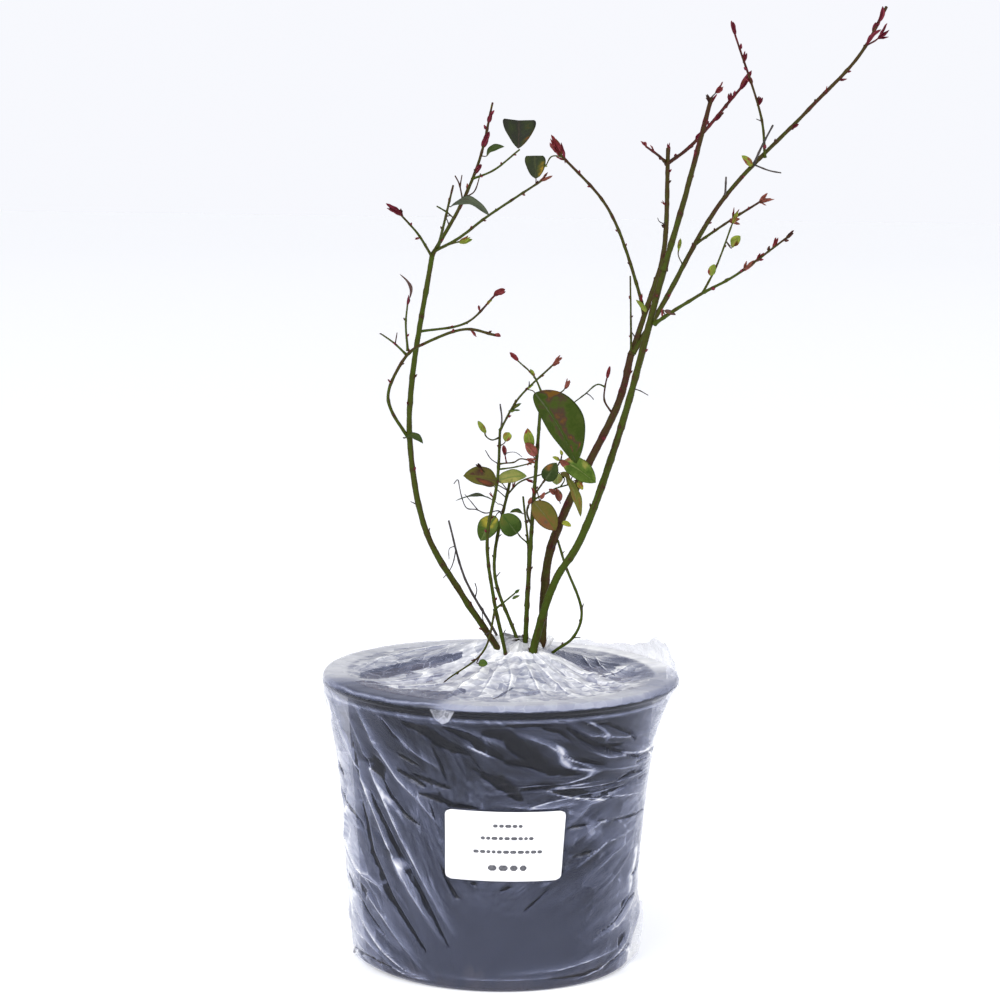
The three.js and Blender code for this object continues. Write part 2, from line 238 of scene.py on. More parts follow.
def grid_faces(rows, columns, wraps=False, flip=False):
    """Quads of a grid of points, row by row. It closes on itself along each row when it wraps."""
    width = columns if wraps else columns + 1
    i, j = np.meshgrid(np.arange(rows), np.arange(columns), indexing="ij")
    here = i * width + j
    beside = i * width + (j + 1) % width
    quads = np.stack([here, beside, beside + width, here + width], axis=-1).reshape(-1, 4)
    return quads[:, ::-1] if flip else quads


def close_ends(batch, start, rows, sides, look, flip=False):
    """Closes a grid's first and last rings with fans to the two points that follow the grid."""
    j = np.arange(sides)
    after = (j + 1) % sides
    tip = start + (rows + 1) * sides
    top = start + rows * sides
    low = np.stack([np.full(sides, tip), start + after, start + j], axis=1)
    high = np.stack([np.full(sides, tip + 1), top + j, top + after], axis=1)
    turned = [0, 2, 1] if flip else [0, 1, 2]
    batch.faces += [low[:, turned], high[:, turned]]
    batch.looks += [np.full(sides, look)] * 2


def lathe(batch, profile, sides):
    """Turns a closed outline of (r, z), whose ends lie on the axis, about Z."""
    profile = np.asarray(profile, float)
    middle = profile[1:-1]
    rings = [ring_of(all_round(sides), r, z) for r, z in middle]
    ends = [[0, 0, profile[0][1]], [0, 0, profile[-1][1]]]
    start = batch.count
    batch.add(np.vstack([*rings, ends]), grid_faces(len(middle) - 1, sides, wraps=True))
    close_ends(batch, start, len(middle) - 1, sides, 0)


def arc(middle, radius, start, end, count):
    """Points (r, z) round an arc, from one angle to another in degrees."""
    turn = np.radians(np.linspace(start, end, count))
    return [(middle[0] + radius * math.cos(t), middle[1] + radius * math.sin(t)) for t in turn]


def rings_along(line, sides):
    """Directions along a line at each of its points, and out from it at each point of its rings."""
    along, beside, over = frames_along(line)
    turn = all_round(sides)
    return along, beside[:, None] * np.cos(turn)[:, None] + over[:, None] * np.sin(turn)[:, None]


def tube(batch, line, radii, sides, look, relief=None, tone=None):
    """A closed tube of changing radius along a line. relief is a share of the radius, and tone a
    number, at each point of each ring."""
    along, spread = rings_along(line, sides)
    reach = radii[:, None] * (np.ones(sides) if relief is None else 1 + relief)
    points = (line[:, None] + spread * reach[..., None]).reshape(-1, 3)
    low = line[0] - along[0] * radii[0] * 0.3
    high = line[-1] + along[-1] * radii[-1] * 0.6
    tones = np.zeros(len(points) + 2)
    if tone is not None:
        tones = np.concatenate([tone.ravel(), [tone[0].mean(), tone[-1].mean()]])
    rows = len(line) - 1
    start = batch.count
    batch.add(np.vstack([points, low, high]), grid_faces(rows, sides, wraps=True), look, tones)
    close_ends(batch, start, rows, sides, look)


# ------------------------------------------------------------------ materials


def set_inputs(tree, node, inputs):
    """Links each input that is given another node's output, and sets the others."""
    for name, value in inputs.items():
        if isinstance(value, bpy.types.NodeSocket):
            tree.links.new(value, node.inputs[name])
        else:
            node.inputs[name].default_value = value


def add_node(tree, kind, output, inputs, **settings):
    """A new node, by the end of its type's name. Gives one of its outputs."""
    node = tree.nodes.new("ShaderNode" + kind)
    for name, value in settings.items():
        setattr(node, name, value)
    set_inputs(tree, node, inputs)
    return node.outputs[output]


def nodes_of(name):
    """A new material, its nodes, its shader and the place on the object."""
    material = bpy.data.materials.new(name)
    material.use_nodes = True
    tree = material.node_tree
    return material, tree, tree.nodes["Principled BSDF"], add_node(tree, "TexCoord", "Object", {})


# Where most values of a noise texture lie, how much a finish's roughness varies, and film's index.
NOISE_SPAN = (0.25, 0.75)
ROUGHNESS_SWING = 0.08
FILM_IOR = 1.5


def scaled(tree, place, stretch):
    return add_node(tree, "Mapping", "Vector", {"Vector": place, "Scale": stretch})


def noise_node(tree, place, scale, detail=4.0, stretch=None):
    """A noise texture of that many lumps to a metre, drawn out along an axis by stretch."""
    place = scaled(tree, place, stretch) if stretch else place
    inputs = {"Vector": place, "Scale": scale, "Detail": detail, "Roughness": 0.6}
    return add_node(tree, "TexNoise", "Fac", inputs)


def ramp_node(tree, factor, stops):
    """A colour ramp through (place, colour) stops."""
    colour = add_node(tree, "ValToRGB", "Color", {"Fac": factor})
    elements = colour.node.color_ramp.elements
    while len(elements) < len(stops):
        elements.new(0.5)
    for element, (position, tint) in zip(elements, stops):
        element.position = position
        element.color = (*tint, 1)
    return colour


def range_node(tree, factor, low, high, from_low=0.0, from_high=1.0):
    inputs = {"Value": factor, "From Min": from_low, "From Max": from_high, "To Min": low, "To Max": high}
    return add_node(tree, "MapRange", "Result", inputs)


def math_node(tree, operation, first, second, clamp=False):
    """A sum on two numbers that vary over the surface, or on one of them and a constant."""
    return add_node(tree, "Math", 0, {0: first, 1: second}, operation=operation, use_clamp=clamp)


def bump_node(tree, shader, height, strength, distance):
    inputs = {"Height": height, "Strength": strength, "Distance": distance}
    set_inputs(tree, shader, {"Normal": add_node(tree, "Bump", "Normal", inputs)})


def times(tree, first, second):
    return math_node(tree, "MULTIPLY", first, second)


def layer_node(tree, name):
    """A number that the mesh carries at each of its points."""
    return add_node(tree, "Attribute", "Fac", {}, attribute_name=name)


def grain_nodes(tree, shader, place, lumps, roughness, strength, relief):
    """Fine grain, that varies the gloss and stands out a little."""
    grain = noise_node(tree, place, lumps, detail=3.0)
    uneven = range_node(tree, grain, roughness - ROUGHNESS_SWING, roughness + ROUGHNESS_SWING)
    set_inputs(tree, shader, {"Roughness": uneven})
    bump_node(tree, shader, grain, strength, relief)


def mottled(name, dark, light, roughness, lumps, relief=0.0002, fine=2500):
    """A finish whose colour wanders from dark to light, with a fine relief."""
    material, tree, shader, place = nodes_of(name)
    colour = ramp_node(tree, noise_node(tree, place, lumps), [(0.32, dark), (0.68, light)])
    set_inputs(tree, shader, {"Base Color": colour})
    grain_nodes(tree, shader, place, fine, roughness, 0.6, relief)
    return material


def toned(name, stops, gloss, jitter, lumps, relief=0.00015):
    """A finish whose colour follows the tone on the mesh through the stops, unevenly."""
    material, tree, shader, place = nodes_of(name)
    wander = range_node(tree, noise_node(tree, place, lumps), -jitter, jitter, *NOISE_SPAN)
    tone = math_node(tree, "ADD", layer_node(tree, "tone"), wander, clamp=True)
    set_inputs(tree, shader, {"Base Color": ramp_node(tree, tone, stops), "Specular IOR Level": gloss})
    grain_nodes(tree, shader, place, 2200, 0.50, 0.5, relief)
    return material


def pot_material():
    """Black moulded plastic, with earth dried on it in patches at the foot."""
    material, tree, shader, place = nodes_of("pot_plastic")
    dust = noise_node(tree, place, 60, detail=6.0)
    height = add_node(tree, "SeparateXYZ", "Z", {"Vector": place})
    low = range_node(tree, height, 0.42, 0.0, 0.001, 0.020)
    stops = [(0.35, (0.010, 0.011, 0.014)), (0.72, (0.022, 0.023, 0.026)), (0.98, (0.100, 0.082, 0.070))]
    colour = ramp_node(tree, math_node(tree, "ADD", dust, low), stops)
    rough = range_node(tree, dust, 0.26, 0.44)
    set_inputs(tree, shader, {"Base Color": colour, "Roughness": rough, "Specular IOR Level": 0.3})
    return material


def facet_nodes(tree, place, stretch):
    """Crumpled film: a painted shading for each flat facet, as if each were tilted its own way to the light,
    and its distance from the nearest crease.
    """
    inputs = {"Vector": scaled(tree, place, stretch), "Scale": 1.0}
    facet_shading = add_node(tree, "TexVoronoi", "Color", inputs, feature="F1")
    edge = add_node(tree, "TexVoronoi", "Distance", inputs, feature="DISTANCE_TO_EDGE")
    return add_node(tree, "SeparateColor", "Red", {"Color": facet_shading}), edge


THIN_FILM = [(0.0, (0.44, 0.51, 0.88)), (0.22, (0.58, 0.64, 0.95)), (0.55, (0.84, 0.86, 0.97)),
             (1.0, (0.95, 0.95, 0.96))]


def film_stops(body, pale):
    """Colours for film by its haze: where it is thin it is also dark, by its least opacity. pale
    film is whiter."""
    known = [stop[0] for stop in THIN_FILM]
    stops = []
    for haze in (0.01, 0.06, 0.12, 0.22, 0.36, 0.6, 1.0):
        share = haze / (body + (1 - body) * haze)
        tint = [np.interp(haze, known, [stop[1][k] for stop in THIN_FILM]) for k in range(3)]
        stops.append((haze, tuple(float(share * (part + (0.94 - part) * pale)) for part in tint)))
    return stops


def film_material(name, body, clear, sheen, facets, streaks, glint, crumple=0.28, pale=0.0):
    """Clear film. It is as hazy as the mesh says, uneven along its folds, and clearer where it clings.
    Painted light is laid on it: painted shading that differs from facet to facet, painted glints
    along the facets' edges and on a crease, a painted shadow line beside the crease, and a painted
    sheen that whitens it towards its outline. Its colour follows its haze: thin film is bluish, and
    crumpled film white. body is its least opacity, and crumple how much the painted shading of its
    facets differs."""
    material, tree, shader, place = nodes_of(name)
    grain = {axis: layer_node(tree, layer) for axis, layer in zip("XYZ", ("across", "along", "deep"))}
    folds = add_node(tree, "CombineXYZ", "Vector", grain)
    streak = layer_node(tree, "streak")
    near = layer_node(tree, "near")
    line = layer_node(tree, "line")
    broken = noise_node(tree, place, 130, detail=2.0)
    fine = range_node(tree, noise_node(tree, folds, 1.0, stretch=streaks), -0.55, 0.55, *NOISE_SPAN)
    facet_shading, edge = facet_nodes(tree, folds, facets)
    # Painted shading: each facet is lighter or darker at random, as if tilted its own way to the light.
    facet_shading = range_node(tree, facet_shading, -crumple, crumple)
    uneven = [math_node(tree, "ADD", times(tree, part, streak), 1.0) for part in (fine, facet_shading)]
    haze = times(tree, layer_node(tree, "tone"), times(tree, *uneven))
    # Painted glints along the edges of the facets, broken up by noise.
    edge_glints = range_node(tree, edge, 1.0, 0.0, 0.0, 0.05)
    bright = range_node(tree, broken, 0.0, glint, 0.48, 0.60)
    hazy = range_node(tree, haze, 0.0, 1.0, 0.02, 0.25)
    for part in (bright, hazy, streak):
        edge_glints = times(tree, edge_glints, part)
    # Painted highlight along the nearest crease.
    crest = range_node(tree, math_node(tree, "ABSOLUTE", line, 0), 1.0, 0.0, 0.1, 0.45)
    crest = times(tree, crest, range_node(tree, near, 0.0, 0.6, 0.40, 0.95))
    crest = times(tree, crest, range_node(tree, broken, 0.35, 1.0, 0.38, 0.52))
    # Painted shadow line beside the crease.
    beside = math_node(tree, "ABSOLUTE", math_node(tree, "ADD", line, -1.0), 0)
    shadow = range_node(tree, beside, 0.80, 0.0, 0.3, 0.9)
    shadow = math_node(tree, "MULTIPLY", shadow, near, clamp=True)
    coarse = (0.5 * streaks[0], 1.4 * streaks[1], streaks[2])
    rough = noise_node(tree, folds, 1.0, detail=3.0, stretch=coarse)
    ragged = range_node(tree, rough, -0.45, 0.45, *NOISE_SPAN)
    cling = math_node(tree, "ADD", layer_node(tree, "cling"), ragged)
    cling = range_node(tree, cling, 0.0, clear, 0.0, 0.14)
    for part in (cling, shadow):
        haze = times(tree, haze, math_node(tree, "SUBTRACT", 1.0, part))
    for part in (edge_glints, crest):
        haze = math_node(tree, "ADD", haze, part)
    # Painted sheen: the film is whiter and more opaque towards its outline, by its Fresnel term.
    rim = add_node(tree, "Fresnel", "Fac", {"IOR": FILM_IOR})
    grazing_sheen = range_node(tree, rim, 0.0, sheen, 0.05, 0.75)
    total = math_node(tree, "ADD", haze, grazing_sheen, clamp=True)
    alpha = range_node(tree, total, body, 1.0)
    colour = ramp_node(tree, total, film_stops(body, pale))
    set_inputs(tree, shader, {"Alpha": alpha, "Base Color": colour, "Roughness": 0.22, "IOR": FILM_IOR,
                              "Specular IOR Level": 0.3})
    return material


BARK = {
    "live": toned("bark_live", [
        (0.0, (0.041, 0.064, 0.005)), (0.22, (0.042, 0.052, 0.005)), (0.40, (0.040, 0.034, 0.006)),
        (0.62, (0.044, 0.021, 0.008)), (0.82, (0.042, 0.010, 0.007)), (1.0, (0.100, 0.013, 0.017))],
        0.09, 0.22, 500),
    "dead": mottled("dead_wood", (0.018, 0.014, 0.013), (0.065, 0.052, 0.046), 0.8, 320),
}
BARK_LOOK = {name: number for number, name in enumerate(BARK)}

# A leaf's colours in thousandths: its midrib, two of its ground, and two of its autumn blush.
LEAF_COLOURS = {
    "large": ((70, 80, 40), (27, 46, 5), (40, 58, 9),
              (52, 29, 20), (112, 54, 8)),
    "olive": ((100, 60, 45), (85, 85, 14), (110, 100, 22),
              (70, 32, 22), (210, 60, 22)),
    "lime_leaf": ((240, 260, 100), (115, 160, 34), (215, 225, 60),
                  (300, 280, 80), (90, 120, 26)),
    "green_yellow": ((120, 150, 50), (48, 85, 13), (80, 120, 22),
                     (200, 190, 26), (330, 290, 40)),
    "bright": ((170, 210, 60), (50, 95, 12), (95, 150, 24),
               (230, 230, 50), (260, 110, 60)),
    "green": ((100, 140, 45), (40, 78, 12), (62, 104, 20),
              (90, 110, 22), (150, 120, 28)),
    "dark": ((70, 90, 35), (26, 44, 10), (42, 62, 16),
             (100, 70, 20), (220, 90, 22)),
    "grey": ((100, 110, 75), (46, 58, 36), (72, 88, 54),
             (60, 60, 40), (100, 65, 42)),
    "folded": ((44, 36, 26), (20, 21, 16), (26, 34, 14),
               (60, 40, 12), (170, 44, 16)),
    "yellow_patch": ((50, 56, 24), (24, 30, 16), (32, 42, 14),
                     (95, 75, 12), (250, 150, 18)),
    "orange": ((130, 100, 45), (88, 92, 16), (120, 88, 20),
               (160, 64, 26), (70, 68, 34)),
    "narrow": ((200, 190, 60), (100, 115, 20), (160, 155, 32),
               (170, 100, 30), (240, 70, 26)),
    "pale": ((210, 240, 90), (140, 175, 48), (200, 230, 75),
             (180, 200, 50), (240, 170, 60)),
    "lime": ((280, 300, 55), (230, 270, 30), (310, 330, 45),
             (280, 220, 40), (250, 80, 36)),
    "lime_red": ((230, 210, 55), (120, 170, 22), (210, 250, 36),
                 (170, 60, 26), (150, 20, 22)),
    "red_leaf": ((210, 80, 55), (140, 44, 28), (200, 62, 42),
                 (270, 80, 70), (120, 75, 22)),
    "red": ((130, 22, 20), (110, 16, 16), (170, 26, 30),
            (220, 50, 55), (120, 55, 16)),
    "crimson": ((60, 7, 10), (70, 7, 12), (112, 12, 24),
                (165, 26, 42), (90, 26, 10)),
    "brown": ((100, 60, 50), (70, 42, 36), (100, 60, 52),
              (70, 26, 22), (120, 80, 32)),
    "bud": ((26, 14, 10), (26, 12, 9), (44, 18, 13),
            (70, 18, 15), (80, 36, 14)),
}
LEAF_STOPS = (0.05, 0.28, 0.48, 0.72, 0.95)
LEAF = {}
for name, colours in LEAF_COLOURS.items():
    stops = [(stop, tuple(part / 1000 for part in colour)) for stop, colour in zip(LEAF_STOPS, colours)]
    LEAF[name] = toned("leaf_" + name, stops, 0.06, 0.10, 700, 0.00003)
LEAF_LOOK = {name: number for number, name in enumerate(LEAF)}


# ------------------------------------------------------------------ camera


def make_camera():
    """The photograph's view: far off, a little above, looking down on the plant."""
    data = bpy.data.cameras.new("camera")
    data.sensor_width = 36
    data.lens = 109.2
    data.clip_start = 0.05
    data.clip_end = 60
    camera = add_object("camera", data)
    pitch = math.radians(90 - 7.86)
    roll = math.radians(0.75)
    turned = Matrix.Rotation(pitch, 4, "X") @ Matrix.Rotation(roll, 4, "Z")
    camera.matrix_world = Matrix.Translation(Vector((-1.5, -1600, 470)) * MM) @ turned
    bpy.context.scene.camera = camera


make_camera()


# ------------------------------------------------------------------ pot and compost


def make_pot():
    """The pot: a thin tapered wall, a rolled lip, a rounded foot and holes in its floor."""
    inner_top = WALL_TOP_RADIUS - WALL
    inner_foot = WALL_FOOT_RADIUS - WALL
    heights = np.linspace(6, POT_HEIGHT - 2 * LIP_ROLL - 1, 40)
    shelf = POT_HEIGHT - 2 * LIP_ROLL
    profile = [(0, 0), (DRAIN_RING_RADIUS + 12, 0)]
    foot = (WALL_FOOT_RADIUS - FOOT_BEVEL, FOOT_BEVEL)
    profile += arc(foot, FOOT_BEVEL, -90, 0, 8)
    profile += [(wall_radius(z), z) for z in heights]
    profile += [(wall_radius(shelf) + 0.5, shelf)]
    profile += arc(LIP_MIDDLE, LIP_ROLL, -90, 90, 18)
    profile += [(inner_top + 1.5, POT_HEIGHT), (inner_top + 0.4, POT_HEIGHT - 0.5)]
    profile += [(inner_top, POT_HEIGHT - 1.5)]
    inner = heights[::-1]
    profile += [(wall_radius(z) - WALL, z) for z in inner]
    profile += arc((inner_foot - 2, FLOOR + 2), 2, 0, -90, 6)
    profile += [(0, FLOOR)]
    batch = Batch()
    lathe(batch, profile, 180)
    pot = batch.object("pot_body", [pot_material()])
    cutter = make_drain_cutter()
    hole = pot.modifiers.new("drain", "BOOLEAN")
    hole.operation = "DIFFERENCE"
    hole.solver = "EXACT"
    hole.object = cutter
    graph = bpy.context.evaluated_depsgraph_get()
    cut = bpy.data.meshes.new_from_object(pot.evaluated_get(graph))
    pot.modifiers.clear()
    pot.data = cut
    bpy.data.objects.remove(cutter)
    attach(pot, "root")
    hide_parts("pot")


def make_drain_cutter():
    batch = Batch()
    for middle in ring_of(all_round(DRAIN_COUNT), DRAIN_RING_RADIUS):
        line = middle + np.array([[0, 0, -3.0], [0, 0, 6.0]])
        tube(batch, line, np.full(2, float(DRAIN_RADIUS)), 28, 0)
    return batch.object("drain_cutter", [])


def make_compost():
    """The compost: an uneven top inside the wall, on a plain body down to the pot's floor."""
    sides = 220
    rings = 70
    turn = all_round(sides)
    edge = wall_radius(COMPOST_TOP) - WALL - COMPOST_GAP
    radii = np.linspace(0, 1, rings + 1)[1:] * edge
    top = np.vstack([ring_of(turn, r) for r in radii])
    top[:, 2] = COMPOST_TOP - 2.2 + 2.0 * noise(top, 9, 1) + 1.5 * noise(top, 3.5, 2)
    top[:, 2] += 0.8 * noise(top, 1.6, 3)
    lower = [(wall_radius(10) - WALL - COMPOST_GAP, 10), (WALL_FOOT_RADIUS - WALL - 2.3, FLOOR + 0.3)]
    body = [ring_of(turn, r, z) for r, z in lower]
    points = np.vstack([top, *body, [[0, 0, COMPOST_TOP - 0.5]], [[0, 0, FLOOR + 0.3]]])
    batch = Batch()
    batch.add(points, grid_faces(rings + 1, sides, wraps=True, flip=True))
    close_ends(batch, 0, rings + 1, sides, 0, flip=True)
    soil = mottled("compost_soil", (0.028, 0.018, 0.012), (0.115, 0.080, 0.056), 0.92, 420, 0.0006, 1800)
    compost = batch.object("compost_body", [soil])
    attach(compost, "root")
    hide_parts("compost")
    make_crumbs(edge)


def make_crumbs(edge):
    """Bark chips and crumbs lying on the compost."""
    rng = np.random.default_rng(11)
    batch = Batch()
    ring = ring_of(all_round(6), 1)
    for _ in range(900):
        r = edge * 0.96 * math.sqrt(rng.random())
        a = rng.random() * 2 * math.pi
        half = rng.uniform(0.5, 1.9) * np.array([1, rng.uniform(0.5, 0.9), rng.uniform(0.3, 0.7)])
        spin = Matrix.Rotation(rng.uniform(0, 6.28), 3, "Z") @ Matrix.Rotation(rng.uniform(-0.7, 0.7), 3, "X")
        rows = [(0.55, -0.8), (1.0, 0.0), (0.6, 0.75)]
        lump = np.vstack([ring * [w, w, 0] + [0, 0, h] for w, h in rows] + [[[0, 0, -1.1]], [[0, 0, 1.05]]])
        lump *= half * rng.uniform(0.8, 1.2, (len(lump), 1))
        lump = lump @ np.array(spin).T + [r * math.cos(a), r * math.sin(a), COMPOST_TOP - 0.1]
        look = int(rng.random() < 0.3) + 2 * int(rng.random() < 0.04)
        start = batch.count
        batch.add(lump, grid_faces(2, 6, wraps=True), look)
        close_ends(batch, start, 2, 6, look)
    chips = [
        mottled("chip_dark", (0.030, 0.019, 0.012), (0.085, 0.058, 0.038), 0.9, 500),
        mottled("chip_brown", (0.110, 0.068, 0.038), (0.200, 0.130, 0.080), 0.85, 500),
        mottled("chip_pale", (0.420, 0.380, 0.320), (0.560, 0.520, 0.460), 0.9, 500),
        mottled("chip_grey", (0.240, 0.220, 0.190), (0.360, 0.330, 0.290), 0.9, 500),
    ]
    crumbs = batch.object("compost_crumbs", chips, smooth=False)
    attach(crumbs, "root")


make_pot()
make_compost()


# ------------------------------------------------------------------ film on the wall

# A fold stands out in a ridge: (height, width, haze, places), each place an angle and a height.
RIDGES = [
    (2.0, 1.8, 0.40, [(-69, 140), (-62, 122), (-52, 97), (-44, 72), (-35, 51), (-23, 28)]),
    (1.6, 1.4, 0.36, [(-61, 148), (-54, 126), (-47, 104), (-39, 82), (-30, 60), (-18, 31)]),
    (1.4, 1.3, 0.34, [(-54, 150), (-48, 131), (-38, 112), (-30, 102), (-20, 86)]),
    (1.0, 1.2, 0.22, [(-44, 148), (-37, 136), (-28, 126), (-18, 118)]),
    (1.0, 1.2, 0.20, [(-34, 146), (-20, 146), (-6, 140), (4, 132)]),
    (1.5, 1.5, 0.32, [(6, 141), (16, 135), (25, 126), (38, 118)]),
    (0.8, 0.9, 0.50, [(-12, 135), (-8, 132), (-2, 128)]),
    (0.8, 0.9, 0.45, [(1, 102), (12, 100), (21, 100), (30, 101)]),
    (0.8, 0.9, 0.45, [(18, 108), (29, 104), (40, 102), (48, 104)]),
    (0.7, 0.8, 0.40, [(-39, 140), (-36, 134), (-32, 129)]),
    (1.2, 1.3, 0.28, [(28, 90), (36, 100), (47, 102), (76, 97)]),
    (1.0, 1.2, 0.20, [(38, 118), (52, 116), (69, 114)]),
    (1.0, 1.0, 0.22, [(20, 148), (32, 138), (48, 134), (66, 132)]),
    (1.0, 1.0, 0.22, [(28, 132), (42, 124), (64, 122)]),
    (1.1, 1.1, 0.22, [(28, 79), (42, 89), (71, 88)]),
    (1.0, 1.0, 0.20, [(32, 66), (46, 77), (66, 80)]),
    (0.9, 1.0, 0.18, [(36, 58), (50, 69), (65, 76)]),
    (0.8, 1.0, 0.18, [(45, 50), (56, 59), (66, 70)]),
    (1.2, 1.0, 0.30, [(48, 25), (59, 28), (74, 38), (86, 45)]),
    (0.9, 1.0, 0.26, [(2, 10), (27, 11), (48, 14), (68, 16)]),
    (2.2, 1.8, 0.42, [(-70, 94), (-76, 70), (-64, 56), (-51, 51), (-46, 44)]),
    (1.6, 1.5, 0.36, [(-75, 58), (-61, 48), (-48, 33), (-32, 10)]),
    (1.4, 1.4, 0.34, [(-80, 44), (-66, 30), (-51, 16), (-41, 12)]),
    (1.2, 1.2, 0.30, [(-90, 26), (-62, 18), (-46, 8)]),
    (1.0, 1.0, 0.26, [(-64, 60), (-52, 44), (-48, 34)]),
    (0.8, 1.0, 0.22, [(-82, 18), (-64, 11), (-52, 8)]),
    (0.9, 0.8, 0.55, [(-64, 26), (-50, 14), (-39, 7), (-30, 5)]),
    (0.7, 0.7, 0.50, [(-50, 9), (-40, 5), (-28, 4)]),
    (0.9, 0.8, 0.50, [(34, 4), (50, 7), (64, 13), (80, 24)]),
    (0.3, 0.6, 0.16, [(-28, 8), (-8, 7), (14, 7), (38, 8)]),
]

# Where film is sucked flat to the plastic it is clear, and the pot shows black: (width, places).
CLINGS = [
    (3.6, [(-33, 144), (-25, 141), (-18, 134), (-11, 130)]),
    (2.8, [(-18, 144), (-11, 140), (-6, 134), (1, 128)]),
    (4.2, [(-5, 142), (2, 140), (8, 132), (16, 124)]),
    (1.2, [(-42, 144), (-38, 136), (-32, 130)]),
    (1.2, [(-38, 126), (-34, 124), (-29, 121)]),
    (1.5, [(-38, 117), (-33, 114), (-27, 110)]),
    (1.3, [(-32, 116), (-25, 113), (-18, 110)]),
    (1.8, [(-30, 106), (-22, 104), (-17, 101), (-8, 100)]),
    (3.6, [(-6, 118), (0, 115), (8, 105)]),
    (2.4, [(2, 126), (10, 124), (19, 120), (28, 118)]),
    (1.3, [(14, 144), (20, 142), (25, 136)]),
    (1.5, [(22, 144), (28, 138), (36, 132), (47, 130)]),
    (1.0, [(30, 144), (38, 144), (50, 136), (55, 131)]),
    (0.9, [(39, 130), (48, 126), (62, 119)]),
    (2.2, [(8, 110), (16, 112), (26, 109), (36, 105)]),
    (1.0, [(14, 113), (22, 108), (36, 103), (46, 102)]),
    (1.2, [(22, 128), (32, 124), (41, 120)]),
    (0.9, [(49, 110), (58, 112), (67, 110)]),
    (1.1, [(2, 146), (10, 146), (16, 146)]),
    (0.9, [(-10, 122), (-4, 118), (0, 110)]),
    (1.2, [(-46, 112), (-42, 102), (-37, 94), (-30, 88)]),
    (1.5, [(-52, 102), (-41, 74), (-31, 52), (-20, 24)]),
    (2.0, [(-60, 100), (-54, 68), (-45, 46), (-30, 20)]),
    (1.0, [(-60, 130), (-58, 114), (-56, 96)]),
    (0.9, [(-70, 45), (-60, 34), (-50, 24)]),
    (0.9, [(-94, 5), (-60, 9), (-47, 7)]),
    (1.0, [(40, 90), (54, 88), (77, 86)]),
    (1.1, [(27, 88), (36, 89)]),
    (1.2, [(30, 72), (40, 74)]),
    (0.7, [(10, 44), (16, 51), (20, 56)]),
    (0.8, [(1, 56), (5, 58)]),
    (0.7, [(46, 27), (56, 30), (69, 40), (94, 41)]),
    (0.9, [(22, 6), (38, 6), (52, 8), (75, 12)]),
]

# The sleeve's grid is finer in front. Its radius is a round one, for the slope of its folds, and
# below FOOT_TUCK it turns in to the pot's foot.
FRONT_COLUMNS = 390
BACK_COLUMNS = 200
SLEEVE_ROWS = 165
SLEEVE_RADIUS = 78
FOOT_TUCK = 3.2


def seeded_folds():
    """Folds like those in front, for the sides and back: they run down and along from the lip."""
    rng = np.random.default_rng(5)
    ridges = []
    clings = []
    for i in range(64):
        angle = rng.uniform(86, 270)
        z = 148 - 140 * rng.random() ** 1.3
        side = 1 if angle < 176 else -1
        slope = side * rng.uniform(0.6, 1.6)
        drop = rng.uniform(10, 46) * (1 if i % 2 else 0.55)
        places = [(angle, z)]
        for _ in range(3):
            angle += slope * drop / 3
            z -= drop / 3
            slope += rng.uniform(-0.25, 0.25)
            places.append((angle, max(z, 1)))
        if i % 2:
            ridges.append((rng.uniform(0.8, 2.0), rng.uniform(0.9, 1.8), rng.uniform(0.15, 0.4), places))
        else:
            clings.append((rng.uniform(1.2, 3.4), places))
    return ridges, clings


def line_distance(across, z, places):
    """Signed distance in millimetres from an unrolled line, and the share of the way along it."""
    places = np.asarray(places, float)
    gaps = np.linalg.norm(np.diff(places, axis=0), axis=1)
    run = np.append(0, np.cumsum(gaps))
    best = np.full(len(across), 1e9)
    share = np.zeros(len(across))
    for i, gap in enumerate(gaps):
        step = (places[i + 1] - places[i]) / gap
        dx = across - places[i][0]
        dz = z - places[i][1]
        reach = np.clip(dx * step[0] + dz * step[1], 0, gap)
        away = np.hypot(dx - reach * step[0], dz - reach * step[1])
        side = np.where(dx * step[1] - dz * step[0] < 0, -1.0, 1.0)
        nearer = away < np.abs(best)
        best = np.where(nearer, away * side, best)
        share = np.where(nearer, (run[i] + reach) / run[-1], share)
    return best, share


class Folds:
    """What a film's folds do at each of its points: lift, haze, cling, and the nearest crease, on which the
    film's material paints a highlight and a shadow line.
    """

    def __init__(self, count):
        self.lift = np.zeros(count)
        self.haze = np.zeros(count)
        self.cling = np.full(count, -1.0)
        self.line = np.full(count, 4.0)
        self.near = np.zeros(count)

    def add_ridge(self, at, away, share, height, width, milk, keep):
        """A crest with one steep side and one gentle one, that fades out towards its ends."""
        taper = np.clip(np.sin(math.pi * (0.06 + 0.88 * share)), 0, 1) ** 0.7 * keep
        steep = np.where(away > 0, width * 0.6, width * 1.4)
        crest = np.exp(-np.sqrt((away / steep) ** 2 + 0.04) + 0.2) * taper
        self.lift[at] += height * crest
        self.haze[at] += milk * crest ** 1.3
        nearer = np.abs(away) < np.abs(self.line[at])
        self.line[at] = np.where(nearer, np.clip(away, -4, 4), self.line[at])
        close = np.clip(1 - np.abs(away) / 2.4, 0, 1) * taper * min(1.0, 0.35 + milk * 1.6)
        self.near[at] = np.where(nearer, close, self.near[at])

    def add_cling(self, at, away, share, width, keep):
        taper = np.clip(np.sin(math.pi * (0.05 + 0.90 * share)), 0.02, 1) ** 0.6
        inside = np.clip(1 - np.abs(away) / (width * taper), -1, 1)
        self.cling[at] = np.maximum(self.cling[at], np.where(keep > 0.5, inside, -1))


